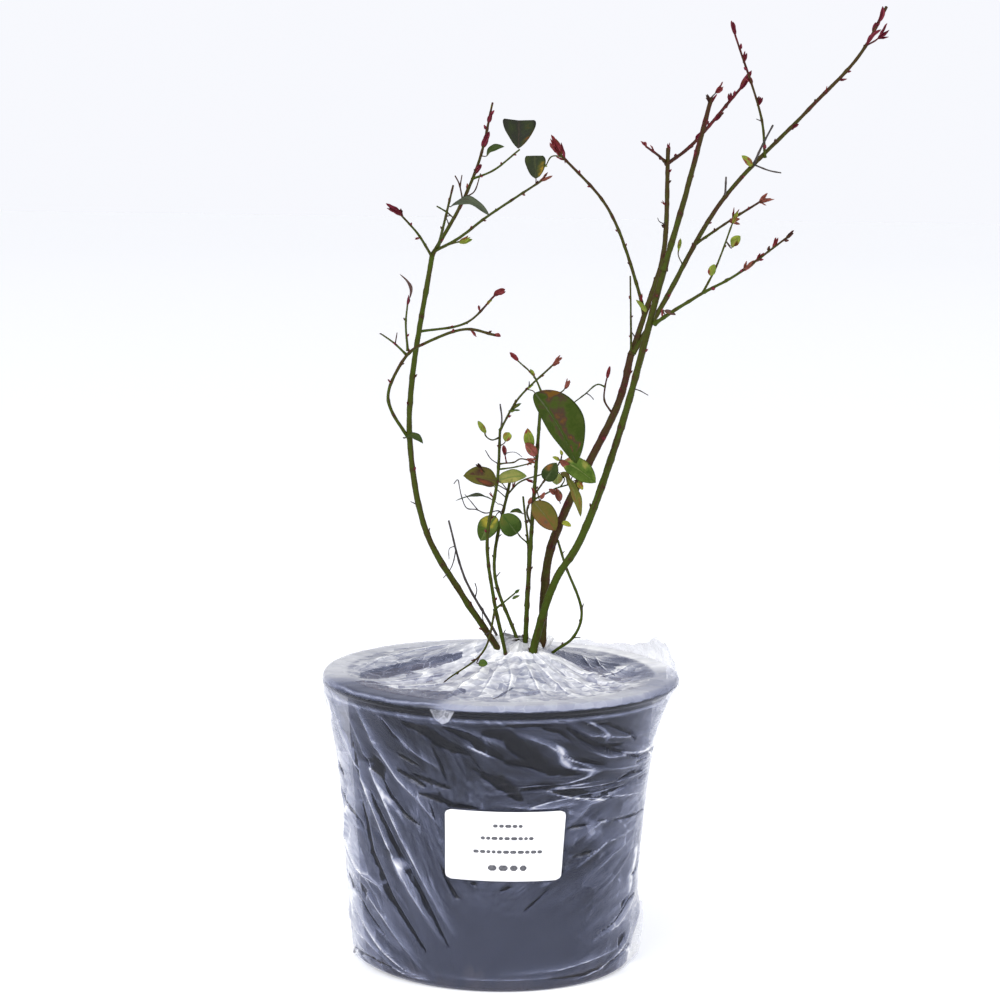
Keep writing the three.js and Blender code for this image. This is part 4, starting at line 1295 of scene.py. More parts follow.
# Each limb: name, its bark's tones or None for dead wood, its radius at its start and end, and the
# places it runs through.
LIMBS = [
    ("left_cane", (0.3, 0.12), 1.8, 1.3, [(8, -4, GROUND), (-1, -4, 168), (-21, -8, 199), (-40, -14, 233),
     (-49, -22, 281), (-48, -29, 316), (-38, -38, 381)]),
    ("left_cane_top", (0.22, 0.75), 1.05, 0.55, [(-38, -38, 381), (-23, -35, 408), (-14, -32, 431),
     (-8, -28, 459)]),
    ("left_cane_reach", GREEN, 0.8, 0.6, [(-37, -38, 383), (-25, -26, 389), (-10, -12, 400),
     (18, 12, 418)]),
    ("left_cane_spur", GREEN, 0.7, 0.5, [(-38, -38, 380), (-45, -48, 392), (-54, -62, 403)]),
    ("left_cane_prong", (0.2, 0.5), 0.8, 0.5, [(-35, -38, 385), (-32, -54, 397), (-27, -76, 418)]),
    ("left_cane_blade", GREEN, 0.6, 0.45, [(-18, -33, 420), (-7, -46, 425), (6, -62, 436)]),
    ("left_low_bough", (0.1, 0.5), 0.9, 0.7, [(-49, -22, 283), (-59, -28, 300), (-60, -34, 310),
     (-50, -42, 330), (-40, -50, 337), (-20, -62, 345), (-5, -72, 343)]),
    ("left_low_shoot", GREEN, 0.65, 0.45, [(-50, -42, 332), (-51, -47, 346), (-50, -52, 357)]),
    ("left_low_spur", GREEN, 0.6, 0.4, [(-51, -41, 330), (-57, -36, 335), (-64, -28, 339)]),
    ("left_mid_bough", (0.05, 0.7), 0.7, 0.55, [(-45, -33, 341), (-20, -18, 345), (-5, -4, 359)]),
    ("dead_cane", None, 0.8, 0.55, [(5, 4, GROUND), (1, 4, 168), (-20, 12, 205), (-29, 18, 235)]),
    ("middle_cane", GREEN, 1.0, 0.7, [(6, -9, GROUND), (2, -9, 170), (-4, -12, 197), (-8, -16, 230),
     (-3, -24, 263), (-2, -31, 290)]),
    ("middle_cane_top", GREEN, 0.6, 0.5, [(-2, -31, 290), (7, -38, 307), (25, -54, 327)]),
    ("cut_cane", GREEN, 1.0, 0.8, [(10, 5, GROUND), (10, 4, 168), (-4, 14, 208), (4, 29, 257)]),
    ("cut_cane_twig", GREEN, 0.5, 0.4, [(2, 26, 248), (9, 36, 254), (22, 50, 257)]),
    ("fine_cane", (0.12, 0.1), 1.2, 0.7, [(13, 0, GROUND), (13, -1, 168), (15, 2, 222), (20, 20, 305)]),
    ("fine_cane_tip", GREEN, 0.55, 0.4, [(20, 20, 305), (16, 24, 313), (7, 30, 321)]),
    ("fine_cane_twin", GREEN, 0.7, 0.55, [(13, 0, 192), (14, 12, 220), (11, 30, 247)]),
    ("fine_cane_hook", (0.2, 0.5), 0.6, 0.5, [(16, 4, 234), (13, -5, 245), (22, -12, 262)]),
    ("back_cane", (0.4, 0.62), 2.2, 1.6, [(21, 4, GROUND), (23, 10, 194), (25, 15, 216), (34, 24, 241),
     (63, 45, 299), (69, 52, 323)]),
    ("back_upright", (0.35, 0.55), 1.3, 1.0, [(69, 52, 323), (78, 58, 350), (86, 62, 377), (88, 70, 435)]),
    ("back_upright_spur", (0.6, 0.95), 0.8, 0.6, [(86, 69, 428), (81, 60, 432), (75, 52, 436)]),
    ("back_upright_shoot", (0.7, 0.9), 0.95, 0.7, [(87, 69, 426), (101, 82, 436), (130, 110, 468)]),
    ("back_thin_shoot", (0.2, 0.4), 0.65, 0.45, [(69, 52, 325), (68, 42, 348), (67, 34, 367)]),
    ("back_arch", (0.25, 0.55), 1.0, 0.7, [(76, 57, 344), (73, 64, 357), (56, 70, 401), (28, 56, 432)]),
    ("back_reach", (0.25, 0.62), 1.4, 0.8, [(70, 52, 324), (85, 60, 348), (119, 84, 406), (167, 104, 456),
     (196, 112, 487), (211, 118, 514)]),
    ("back_reach_shoot", (0.2, 1), 0.75, 0.55, [(143, 94, 430), (140, 86, 451), (123, 70, 497)]),
    ("back_reach_bough", (0.3, 0.7), 0.75, 0.6, [(105, 75, 383), (123, 60, 397), (138, 46, 408)]),
    ("front_cane", (0.04, 0.34), 2.1, 1.6, [(14, -8, GROUND), (17, -7, 168), (28, -12, 207), (41, -15, 230),
     (60, -24, 287), (81, -40, 375)]),
    ("front_cane_top", (0.25, 0.68), 1.4, 1.0, [(81, -40, 375), (90, -48, 410), (102, -63, 463)]),
    ("front_bough", GREEN, 1.05, 0.8, [(77, -36, 347), (87, -46, 355), (101, -56, 365)]),
    ("front_bough_right", (0.1, 0.6), 0.75, 0.5, [(101, -56, 365), (115, -68, 374), (141, -88, 396)]),
    ("front_bough_left", GREEN, 0.6, 0.4, [(100, -55, 364), (107, -50, 377), (116, -40, 400)]),
    ("loop_cane", (0.05, 0.15), 0.75, 0.6, [(24, 9, GROUND), (26, 3, 164), (39, -1, 176), (43, -1, 189),
     (34, 10, 213), (30, 18, 225)]),
    ("low_twig", (0.1, 0.2), 0.65, 0.4, [(-3, -13, 194), (-9, -24, 172), (-28, -38, 159)]),
    ("low_twig_shoot", GREEN, 0.55, 0.4, [(-4, -14, 192), (2, -20, 198), (7, -24, 203)]),
]

# How much stouter some limbs are with their bark than the plain tubes in the frame.
STOUT = {"back_cane": 1.16, "fine_cane": 1.20, "back_upright": 1.18, "front_cane_top": 1.14,
         "front_cane": 1.04, "back_reach": 1.05, "back_upright_shoot": 1.1, "middle_cane": 1.08,
         "loop_cane": 1.12}

# The piece that each family of limbs is joined into.
CLUMPS = {
    "left": "canes_left",
    "dead": "cane_dead",
    "middle": "canes_middle",
    "cut": "canes_middle",
    "fine": "canes_middle",
    "back": "canes_back",
    "front": "canes_front",
    "loop": "canes_low",
    "low": "canes_low",
}

# A limb thicker than this has wide-set nodes. Each node is that far round its limb from the last.
THICK_LIMB = 1.2
NODE_TURN = math.radians(144)


def tone_of_bark(tones, line, spread, rng):
    """Green bark that browns in long streaks and reddens at its nodes. It also carries painted shade: it is
    browner and darker in its streaks on the side that faces right, and at its left and right sides as seen
    from the front.
    """
    first, last = tones or (0, 0)
    share = np.linspace(0, 1, len(line))[:, None]
    tone = first + (last - first) * share ** 1.5
    sides = spread.shape[1]
    turn = all_round(sides)
    cells = np.stack(np.broadcast_arrays(1.3 * np.cos(turn)[None], 1.3 * np.sin(turn)[None],
                                         np.arange(len(line))[:, None] / 16), axis=-1)
    streak = noise(cells.reshape(-1, 3), 1.0, int(rng.integers(1, 999))).reshape(len(line), sides)
    # Painted shade: the bark is browner and darker on the side that faces right.
    painted_shading = np.clip(spread @ unit([0.75, -0.35, 0.55]), -1, 1)
    old = np.clip((235 - line[:, 2]) / 90, 0, 1)[:, None]
    # Painted shade: the bark is browner and darker at its sides that face left and right.
    edge = np.abs(spread[..., 0]) ** 3
    tone = tone + 1.1 * np.clip(streak - 0.58, 0, 1) + (0.08 + 0.15 * old) * painted_shading * (streak > 0.3)
    tone = tone + (0.24 + 0.16 * old) * (edge - 0.3)
    return np.clip(tone, 0, 1)


def grow_limb(batch, name, tones, start, end, route, rng):
    """One limb with its bark's relief and swollen nodes. Gives its line and its nodes."""
    line = smooth_line(route, 1.0)
    rows = len(line) - 1
    length = rows * 1.0
    along = np.linspace(0, length, rows + 1)
    sides = 16 if start > THICK_LIMB else 9
    radii = (start + (end - start) * along / length) * STOUT.get(name, 1)
    grounded = route[0][2] == GROUND
    flare = 0.35 * np.exp(-along / 8) if grounded else 0.45 * np.exp(-along / 1.8)
    radii = radii * (1 + flare)
    spacing = 15 if start > THICK_LIMB else 9.5
    node_at = rng.uniform(0.6, 1.0) * spacing + (12 if grounded else 0)
    nodes = []
    turn = rng.uniform(0, 2 * math.pi)
    while node_at < length - 3:
        nodes.append((node_at, turn))
        swelling = rng.uniform(0.06, 0.20) * np.clip(start, 0.6, 1.2)
        radii = radii + swelling * np.exp(-((along - node_at) / 1.5) ** 2)
        node_at += spacing * rng.uniform(0.75, 1.3)
        turn += NODE_TURN + rng.uniform(-0.4, 0.4)
    around = all_round(sides)
    twist = np.stack([np.cos(around), np.sin(around)], axis=1) * 2.2
    cells = np.concatenate([np.column_stack([twist, np.full(sides, a * 0.22)]) for a in along])
    relief = 0.16 * (noise(cells, 1.0, int(rng.integers(1, 999))) - 0.5)
    cells[:, 2] *= 5
    relief += 0.08 * (noise(cells, 1.0, int(rng.integers(1, 999))) - 0.5)
    relief = relief.reshape(rows + 1, sides)
    directions, spread = rings_along(line, sides)
    tone = tone_of_bark(tones, line, spread, rng)
    for place, angle in nodes:
        scar = np.clip(np.cos(around - angle), 0, 1)[None] + 0.2
        tone += 0.26 * np.exp(-((along - place) / 1.3) ** 2)[:, None] * scar * bool(tones)
    bark = BARK_LOOK["live" if tones else "dead"]
    tube(batch, line, radii, sides, bark, relief, np.clip(tone, 0.02, 1))
    grown = []
    for place, angle in nodes:
        i = int(round(place / length * rows))
        j = int(round(angle / (2 * math.pi) * sides)) % sides
        out = spread[i][j]
        grown.append((line[i] + out * radii[i] * 0.8, out, directions[i]))
    return line, grown


def bud(batch, place, direction, length, radius, look):
    """A pointed bud of overlapping scales."""
    direction = unit(direction)
    widths = np.array([0.55, 0.95, 1.0, 0.82, 0.9, 0.6, 0.62, 0.3])
    heights = np.array([0, 0.14, 0.3, 0.42, 0.5, 0.68, 0.76, 0.94])
    line = place + direction * (heights * length)[:, None]
    tone = np.full((len(line), 7), 0.3) + np.linspace(0, 0.5, len(line))[:, None]
    tube(batch, line, widths * radius, 7, LEAF_LOOK[look], tone=tone)


def leaf_tone(t, ring, length, half_width, patches, seed):
    """A leaf's tone at each point, from t along it and ring across it: mottled, and stained in flecked
    patches with a ragged outline."""
    cells = np.stack(np.broadcast_arrays(t * length / 5, ring * half_width / 4, 0 * t), axis=-1)
    cells = cells.reshape(-1, 3)
    shape = (len(t), len(ring))
    tone = 0.30 + 0.28 * (noise(cells, 1.0, seed + 1).reshape(shape) - 0.3)
    warp = [noise(cells * 1.3, 1.0, seed + k).reshape(shape) - 0.5 for k in (71, 72)]
    fleck = 0.55 + 0.9 * noise(cells * 3.0, 1.0, seed + 73).reshape(shape)
    for at, over, reach_along, reach_across, amount in patches:
        near = ((t + 0.22 * warp[0] - at) / reach_along) ** 2
        near = near + ((ring + 0.9 * warp[1] - over) / reach_across) ** 2
        tone = tone + amount * fleck * np.exp(-near ** 1.5)
    return tone


def leaf(batch, base, blade, half_width, facing, look, seed, fold=0.3, arch=0.08, bow=0.0,
         skew=0.0, shape=(0.62, 0.72), rows=16, patches=()):
    """A blade along a vector from its base: its outline, folded on the midrib, arched and rippled.
    A patch is (share along, share across, its two reaches, how much it adds to the tone)."""
    base = np.asarray(base, float)
    axis = np.asarray(blade, float)
    length = np.linalg.norm(axis)
    axis = axis / length
    facing = unit(np.asarray(facing, float) - axis * (np.asarray(facing, float) @ axis))
    side = np.cross(axis, facing)
    columns = 11 if rows > 30 else 5
    across = np.linspace(-1, 1, 2 * columns + 1)
    across = np.sign(across) * np.abs(across) ** 1.25
    ring = np.concatenate([across, across[-2:0:-1]])
    under = np.concatenate([np.zeros(len(across)), np.ones(len(across) - 2)])
    t = np.linspace(0, 1, rows + 1)[:, None]
    outline = t ** shape[0] * (1 - t) ** shape[1]
    width = half_width * np.maximum(outline / outline.max(), 0.02)
    rng = np.random.default_rng(1000 + seed)
    phase = rng.uniform(0, 6.28)
    middle = np.sin(math.pi * t)
    lift = width * np.abs(ring) * math.sin(fold) + arch * length * middle
    wave = np.sin(2 * math.pi * (1.8 * t + 0.3 * np.sign(ring)) + phase)
    lift = lift + 0.025 * length * wave * ring ** 2 * middle
    vein = np.abs(((t * 7 - np.abs(ring) * 1.1) % 1) - 0.5)
    veined = (np.abs(ring) > 0.1) * (np.abs(ring) < 0.9)
    lift = lift - 0.006 * length * np.clip(1 - vein / 0.16, 0, 1) * veined
    lift = lift - 0.2 * under
    reach = width * (ring + skew * np.abs(ring)) * math.cos(fold) + bow * length * middle
    points = base + axis * (t * length)[..., None] + side * reach[..., None] + facing * lift[..., None]
    if not patches:
        patches = [(rng.uniform(0, 1), rng.uniform(-1, 1), 0.35, 0.8, rng.uniform(0.1, 0.5))
                   for _ in range(2)]
    tone = leaf_tone(t, ring, length, half_width, patches, seed) - 0.05 * (vein < 0.1)
    rib = np.exp(-(np.abs(ring) * width / (0.3 + 0.03 * half_width)) ** 2) * (1 - t) ** 0.3
    tone = np.clip(tone * (1 - rib) + 0.02 * rib, 0.02, 1)
    wraps = len(ring)
    batch.add(points.reshape(-1, 3), grid_faces(rows, wraps, wraps=True), LEAF_LOOK[look], tone.ravel())
    start = batch.count - points.size // 3
    batch.faces.append(np.arange(wraps)[::-1][None] + start)
    batch.faces.append(np.arange(wraps)[None] + rows * wraps + start)
    batch.looks += [np.full(1, LEAF_LOOK[look])] * 2


def shoot(batch, place, direction, size, count, look, rng, spread, plump):
    """An opening bud: narrow folded leaflets that part round a point."""
    direction = unit(direction)
    sideways = unit(np.cross(direction, [0.3, -0.9, 0.2]))
    other = np.cross(direction, sideways)
    for i in range(count):
        turn = i * 2.4 + rng.uniform(-0.4, 0.4)
        out = sideways * math.cos(turn) + other * math.sin(turn)
        lean = spread * rng.uniform(0.12, 0.6) * (0.4 + i / count)
        along = unit(direction + out * lean)
        length = 1.5 * size * rng.uniform(0.55, 1.0)
        base = place + direction * rng.uniform(-0.35, 0.05) * size
        leaf(batch, base, along * length, length * plump * rng.uniform(0.8, 1.2), out, look,
             seed=int(rng.integers(1, 9999)), fold=0.5, arch=-0.06, rows=8)


PATHS = {}


def place_on(limb, share):
    """The place and direction that share of the way along a limb or twig."""
    line = PATHS[limb]
    i = int(round(share * (len(line) - 1)))
    last = min(i + 2, len(line) - 1)
    return line[i], unit(line[last] - line[max(last - 4, 0)])


def make_canes():
    """All limbs, joined clump by clump. Gives the nodes that may bear a bud or a twig."""
    rng = np.random.default_rng(3)
    clumps = {name: (Batch(), []) for name in dict.fromkeys(CLUMPS.values())}
    nodes = []
    for name, tones, start, end, route in LIMBS:
        batch, limbs = clumps[CLUMPS[name.split("_")[0]]]
        limbs.append(name)
        PATHS[name], grown = grow_limb(batch, name, tones, start, end, route, rng)
        nodes += [(name, start, *node) for node in grown]
    for name, (batch, limbs) in clumps.items():
        canes = batch.object(name, list(BARK.values()))
        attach(canes, "root")
        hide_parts(*limbs)
    return nodes


NODES = make_canes()


# ------------------------------------------------------------------ twigs

DEAD = -1

# Each twig: name, tone of its bark, radius at its start and end, the limb it grows from and how far
# along, and the places it runs through, from there.
TWIGS = [
    ("prong_left", 0.1, 0.45, 0.35, "left_cane_prong", 0.61, [(-5, -4, 3)]),
    ("prong_right", 0.35, 0.40, 0.30, "left_cane_prong", 0.61, [(4, 7, -4)]),
    ("top_fork", 0.6, 0.45, 0.35, "left_cane_top", 0.38, [(-2, -4, 9), (-4, -7, 13)]),
    ("top_fork_side", 0.6, 0.35, 0.30, "top_fork", 0.53, [(1, -3, 6)]),
    ("reach_bud_twig", 0.2, 0.45, 0.40, "left_cane_reach", 0.0, [(8, -8, 4), (14, -12, 6)]),
    ("top_back_twig", 0.6, 0.40, 0.30, "left_cane_top", 0.40, [(5, 6, 3), (8, 9, 12)]),
    ("left_bud_twig", 0.25, 0.40, 0.35, "middle_cane", 0.97, [(-4, -3, -1), (-7, -5, 1), (-8, -7, 4)]),
    ("middle_dead_tip", DEAD, 0.50, 0.40, "middle_cane", 0.97, [(1, -3, 10), (0, -5, 18)]),
    ("thin_dead_left", DEAD, 0.30, 0.22, "middle_cane", 0.87, [(-4, -3, 3), (-7, -7, 8)]),
    ("crossing_high", 0.35, 0.45, 0.35, "middle_cane", 0.87,
     [(3, -4, 1), (8, -7, 2), (11, -9, 4), (15, -12, 4)]),
    ("crossing_low", 0.1, 0.45, 0.35, "middle_cane", 0.85, [(8, -6, 2), (14, -10, 4), (19, -14, 6)]),
    ("crossing_bud", 0.9, 0.35, 0.30, "crossing_high", 0.30, [(-1, -1, 5)]),
    ("filament", DEAD, 0.22, 0.15, "crossing_bud", 1.00, [(3, -1, 1), (6, -3, 1), (9, -4, -1)]),
    ("spread_twig", 0.1, 0.50, 0.40, "fine_cane", 0.64, [(7, -3, 4), (12, -5, 7), (18, -6, 9)]),
    ("spread_up", 0.1, 0.35, 0.30, "spread_twig", 0.81, [(2, -1, 4), (0, -2, 8)]),
    ("hook_upper", 0.35, 0.45, 0.35, "fine_cane_hook", 0.94, [(5, 2, 5), (9, 4, 11), (10, 5, 15)]),
    ("twin_leaf_twig", 0.1, 0.45, 0.35, "fine_cane_twin", 0.56, [(-4, -5, 4), (-6, -7, 7)]),
    ("curly", DEAD, 0.35, 0.25, "cut_cane", 0.82,
     [(-2, -3, 3), (-9, -5, 2), (-14, -6, 4), (-19, -8, 5), (-22, -10, 12), (-23, -12, 17),
      (-24, -13, 21), (-26, -15, 19)]),
    ("curly_side", DEAD, 0.30, 0.20, "curly", 0.38, [(-3, -2, 4), (-7, -4, 9)]),
    ("olive_bud", 0.35, 0.30, 0.25, "cut_cane", 0.91, [(-6, -4, 6), (-11, -9, 14), (-14, -13, 18)]),
    ("spur_up", 0.6, 0.60, 0.42, "back_cane", 0.82, [(-5, -3, 8), (-5, -5, 15), (-4, -7, 21)]),
    ("spur_left", 0.15, 0.45, 0.35, "spur_up", 0.78, [(-4, 2, 1), (-11, 5, -5), (-17, 8, -10)]),
    ("spur_stub", DEAD, 0.30, 0.25, "spur_left", 0.57, [(2, -2, -1), (4, -3, -3)]),
    ("leaf_back_twig", 0.35, 0.40, 0.35, "fine_cane", 0.98, [(6, 2, 2), (11, 3, 3), (13, 4, 5)]),
    ("right_dead", DEAD, 0.35, 0.25, "front_cane", 0.73, [(4, -3, -1), (8, -5, -3)]),
    ("sky_dead", DEAD, 0.70, 0.50, "back_reach", 0.52, [(4, -8, 11), (9, -14, 22)]),
    ("sky_right", DEAD, 0.50, 0.40, "back_reach", 0.52, [(8, -8, -3), (14, -14, -4)]),
    ("sky_stub", DEAD, 0.65, 0.50, "back_reach", 0.42, [(0, -2, 6), (0, -4, 11)]),
    ("bud_leaf_twig", 0.35, 0.35, 0.30, "back_reach", 0.23, [(-3, -3, 6), (-3, -5, 10)]),
    ("dead_drop", DEAD, 0.35, 0.22, "dead_cane", 0.83, [(-1, -6, -5), (-3, -22, -8), (-6, -34, -10)]),
    ("dead_drop_side", DEAD, 0.25, 0.20, "dead_cane", 0.85, [(-3, -4, -1), (-3, -8, -6)]),
    ("dead_up", DEAD, 0.35, 0.25, "dead_cane", 0.54, [(1, -3, 5), (0, -5, 9)]),
    ("dead_loop", DEAD, 0.30, 0.22, "dead_cane", 0.44, [(-1, -5, 4), (-1, -8, 0), (0, -8, -4), (1, -4, -9)]),
    ("low_spur_up", 0.6, 0.32, 0.25, "left_low_spur", 0.43, [(1, -2, 6)]),
    ("low_stub", 0.6, 0.35, 0.28, "low_twig", 0.53, [(-2, -3, -2), (-4, -5, -2)]),
    ("front_stub", DEAD, 0.40, 0.32, "front_cane_top", 0.97, [(1, 4, 3), (4, 7, 6)]),
    ("upright_spike", DEAD, 0.35, 0.20, "back_upright", 0.64, [(-4, -3, 2), (-5, -5, 4)]),
    ("reach_fork", 0.8, 0.50, 0.45, "back_reach", 0.90, [(5, -3, 3), (7, -5, 5)]),
    ("arch_bud_stalk", 0.2, 0.40, 0.35, "back_arch", 0.97, [(-6, -4, 0), (-9, -6, -5)]),
    ("shoot_stub", DEAD, 0.35, 0.25, "middle_cane_top", 0.60, [(0, -2, 3)]),
]


def grow_twig(batch, name, tone, start, end, parent, share, offsets):
    """A twig from inside its limb, through its offsets, with small swellings."""
    root, _ = place_on(parent, share)
    line = smooth_line([root, *(root + np.array(offset) for offset in offsets)], 0.8)
    PATHS[name] = line
    along = np.linspace(0, 1, len(line))
    radii = start + (end - start) * along + 0.5 * start * np.exp(-along * len(line) / 1.5)
    radii = radii * (1 + 0.22 * np.clip(np.sin(along * len(line) * 0.55 + len(name)), 0.2, 1) ** 3)
    tones = np.repeat(np.clip(tone + 0.15 * along, 0.02, 1)[:, None], 7, axis=1)
    tube(batch, line, radii, 7, BARK_LOOK["dead" if tone == DEAD else "live"], tone=tones)


# ------------------------------------------------------------------ leaves

BIG_LEAF_PATCHES = [
    (0.10, -0.75, 0.10, 0.50, 0.66),
    (0.34, -0.40, 0.22, 0.42, 0.21),
    (0.28, 0.15, 0.20, 0.30, 0.26),
    (0.55, 0.02, 0.20, 0.34, 0.32),
    (0.66, -0.30, 0.16, 0.22, 0.20),
    (0.78, -0.26, 0.10, 0.12, 0.62),
]

# Each leaf: its look, the limb or twig it grows from and how far along, the stalk and the blade as
# vectors from there, half the blade's width, the way it faces, and what else shapes it, if anything.
LEAVES = [
    ("large", "middle_cane_top", 0.56, (4, 2, -2), (22, -4, -36), 10.3, (0.15, -1, 0.35),
     dict(bow=-0.02, skew=-0.42, rows=48, fold=0.16, shape=(0.55, 0.75), patches=BIG_LEAF_PATCHES)),
    ("olive", "cut_cane", 0.94, (-6, -8, 6), (-18, -8, 4), 6.3, (0.1, -0.9, 0.6),
     dict(patches=[(0.55, 0.1, 0.35, 0.6, 0.36), (0.3, -0.7, 0.3, 0.5, 0.40)])),
    ("lime_leaf", "cut_cane", 0.94, (-6, -5, 6), (16, -1, 3), 4.5, (0, -0.8, 0.7)),
    ("green_yellow", "cut_cane", 0.85, (-4, -8, -2), (-8, -4, -13), 5.8, (-0.2, -1, 0.3),
     dict(patches=[(0.2, 0, 0.25, 1.0, 0.6)])),
    ("grey", "cut_cane", 0.86, (-3, -4, 2), (-23, -10, 3), 1.4, (0, -0.3, 1), dict(arch=0.16)),
    ("green", "twin_leaf_twig", 1.00, (0, 0, -1), (-8, -4, 11), 6.1, (0, -1, 0.2),
     dict(shape=(0.5, 0.5))),
    ("dark", "fine_cane_twin", 0.86, (-1, -2, -1), (-7, -2, 1), 1.8, (0.1, -0.6, 0.8), dict(arch=0.2)),
    ("orange", "fine_cane_hook", 0.54, (2, -2, 1), (12, -2, -15), 6.3, (0.2, -1, 0.2)),
    ("red_leaf", "fine_cane_hook", 0.51, (0, -1, 0), (1, -1, 4), 1.1, (0, -1, 0)),
    ("red_leaf", "fine_cane_hook", 0.77, (2, -2, -4), (2, -1, 4), 1.1, (0, -1, 0)),
    ("red_leaf", "spread_twig", 0.71, (2, -1, -7), (-2, 0, 7), 2.1, (0.3, -1, 0)),
    ("red_leaf", "spread_twig", 0.71, (0, -1, -3), (-4, -2, 3), 1.5, (0.3, -1, 0)),
    ("pale", "spread_up", 0.56, (-4, -2, 3), (0, -2, -6), 3.4, (0, -1, 0.2)),
    ("olive", "spread_up", 1.00, (0, -1, 0), (5, -2, -3), 1.8, (0.2, -0.8, 0.6)),
    ("narrow", "spread_twig", 1.00, (-1, -2, 5), (8, -5, -21), 2.7, (0.5, -1, 0.1),
     dict(arch=0.12, patches=[(0.45, 0.6, 0.3, 0.4, 0.32), (0.8, -0.2, 0.2, 0.5, 0.28)])),
    ("lime", "spread_twig", 1.00, (6, -2, 7), (4, -2, -4), 1.8, (0, -1, 0.4)),
    ("lime", "spread_twig", 1.00, (5, -2, 2), (3, -2, -4), 1.6, (0, -1, 0.4)),
    ("lime", "back_cane", 0.47, (1, -3, 1), (5, -2, -2), 1.6, (0, -1, 0.5)),
    ("dark", "fine_cane_hook", 0.94, (1, 0, 1), (6, -3, 10), 4.5, (0.1, -1, 0.3),
     dict(patches=[(0.75, -0.6, 0.25, 0.6, 0.6)])),
    ("bright", "hook_upper", 0.74, (2, -1, 1), (17, -5, -11), 6.1, (0.0, -1, 0.5),
     dict(patches=[(0.02, 0, 0.2, 1.2, 0.6), (0.4, -0.9, 0.5, 0.3, 0.3)])),
    ("red_leaf", "hook_upper", 0.74, (5, -3, -2), (-5, 0, 3), 1.9, (0, -1, 0)),
    ("lime", "hook_upper", 0.95, (-1, 0, -3), (-4, -1, 2), 1.1, (0, -1, 0.5)),
    ("lime", "hook_upper", 1.00, (0, 0, -1), (-1, -1, 3), 0.9, (0, -1, 0.5)),
    ("lime_red", "fine_cane", 0.76, (-3, -2, 8), (-2, -3, 11), 3.0, (-0.2, -1, 0.3),
     dict(patches=[(1, 0, 0.25, 1.0, 0.6), (0.5, -1, 0.5, 0.25, 0.3)])),
    ("red_leaf", "fine_cane", 0.76, (0, -3, 4), (-6, -1, 7), 2.8, (0, -1, 0.2)),
    ("lime_red", "middle_cane", 0.94, (3, -3, 3), (2, -2, 5), 2.4, (0.1, -1, 0.5),
     dict(shape=(0.7, 0.35))),
    ("dark", "left_low_bough", 0.02, (-2, -3, 0), (10, -5, -2), 3.2, (0.1, -0.5, 1),
     dict(arch=0.22, patches=[(0.5, 0, 1, 1, 0.05)])),
    ("folded", "left_cane_blade", 0.98, (0, 0, 1), (0, 6, 14), 9.0, (0.1, -1, 0.3),
     dict(shape=(0.72, 0.15), rows=26, fold=0.35,
          patches=[(0.35, 0.95, 0.4, 0.25, 0.45), (0.2, 0.1, 0.2, 0.5, 0.10)])),
    ("yellow_patch", "left_cane_reach", 0.95, (0, 0, 3), (-1, 6, 12), 5.8, (0.1, -1, 0.2),
     dict(shape=(0.55, 0.24), patches=[(0.35, 0.5, 0.35, 0.5, 0.6)])),
    ("grey", "left_cane_prong", 0.69, (1, 2, 0), (20, -6, -4), 3.4, (0, -0.7, 0.9), dict(arch=0.28)),
    ("dark", "left_cane_top", 0.67, (3, -1, 0), (9, -5, 5), 2.5, (0.2, -0.8, 0.7), dict(arch=0.2)),
    ("brown", "left_low_shoot", 0.96, (1, 0, 3), (-5, -3, 13), 0.9, (-0.3, -1, 0), dict(bow=0.25)),
    ("lime_red", "front_bough_left", 0.74, (3, -1, -2), (4, -2, 5), 2.6, (0, -1, 0.4)),
    ("lime_red", "front_bough_left", 0.74, (3, -1, -3), (2, -3, 4), 1.6, (-1, -1, 0)),
    ("lime_red", "front_bough_left", 0.26, (-1, -1, 0), (2, -1, 6), 2.1, (0, -1, 0.4)),
    ("lime_red", "back_reach", 0.52, (-1, -2, -1), (-6, -2, 6), 2.1, (0, -1, 0.4)),
    ("lime_red", "back_upright", 0.22, (0, -3, -1), (-6, -4, 7), 1.4, (0, -1, 0.4)),
    ("brown", "front_bough", 0.25, (-1, -2, 3), (6, -2, -2), 1.3, (0, -1, 0.4)),
    ("green", "low_twig", 0.55, (-1, -2, -4), (5, -1, 0), 2.3, (0, -1, 0.6)),
    ("green", "low_twig_shoot", 0.79, (1, 0, -1), (4, -1, 2), 0.9, (0, -1, 0.6)),
    ("crimson", "back_reach", 0.96, (0, -1, 0), (2, 0, 9), 1.6, (0.3, -1, 0), dict(bow=0.05)),
    ("crimson", "back_reach", 0.90, (0, -2, 0), (8, 0, 9), 1.5, (-0.5, -1, 0.5), dict(bow=-0.06)),
]

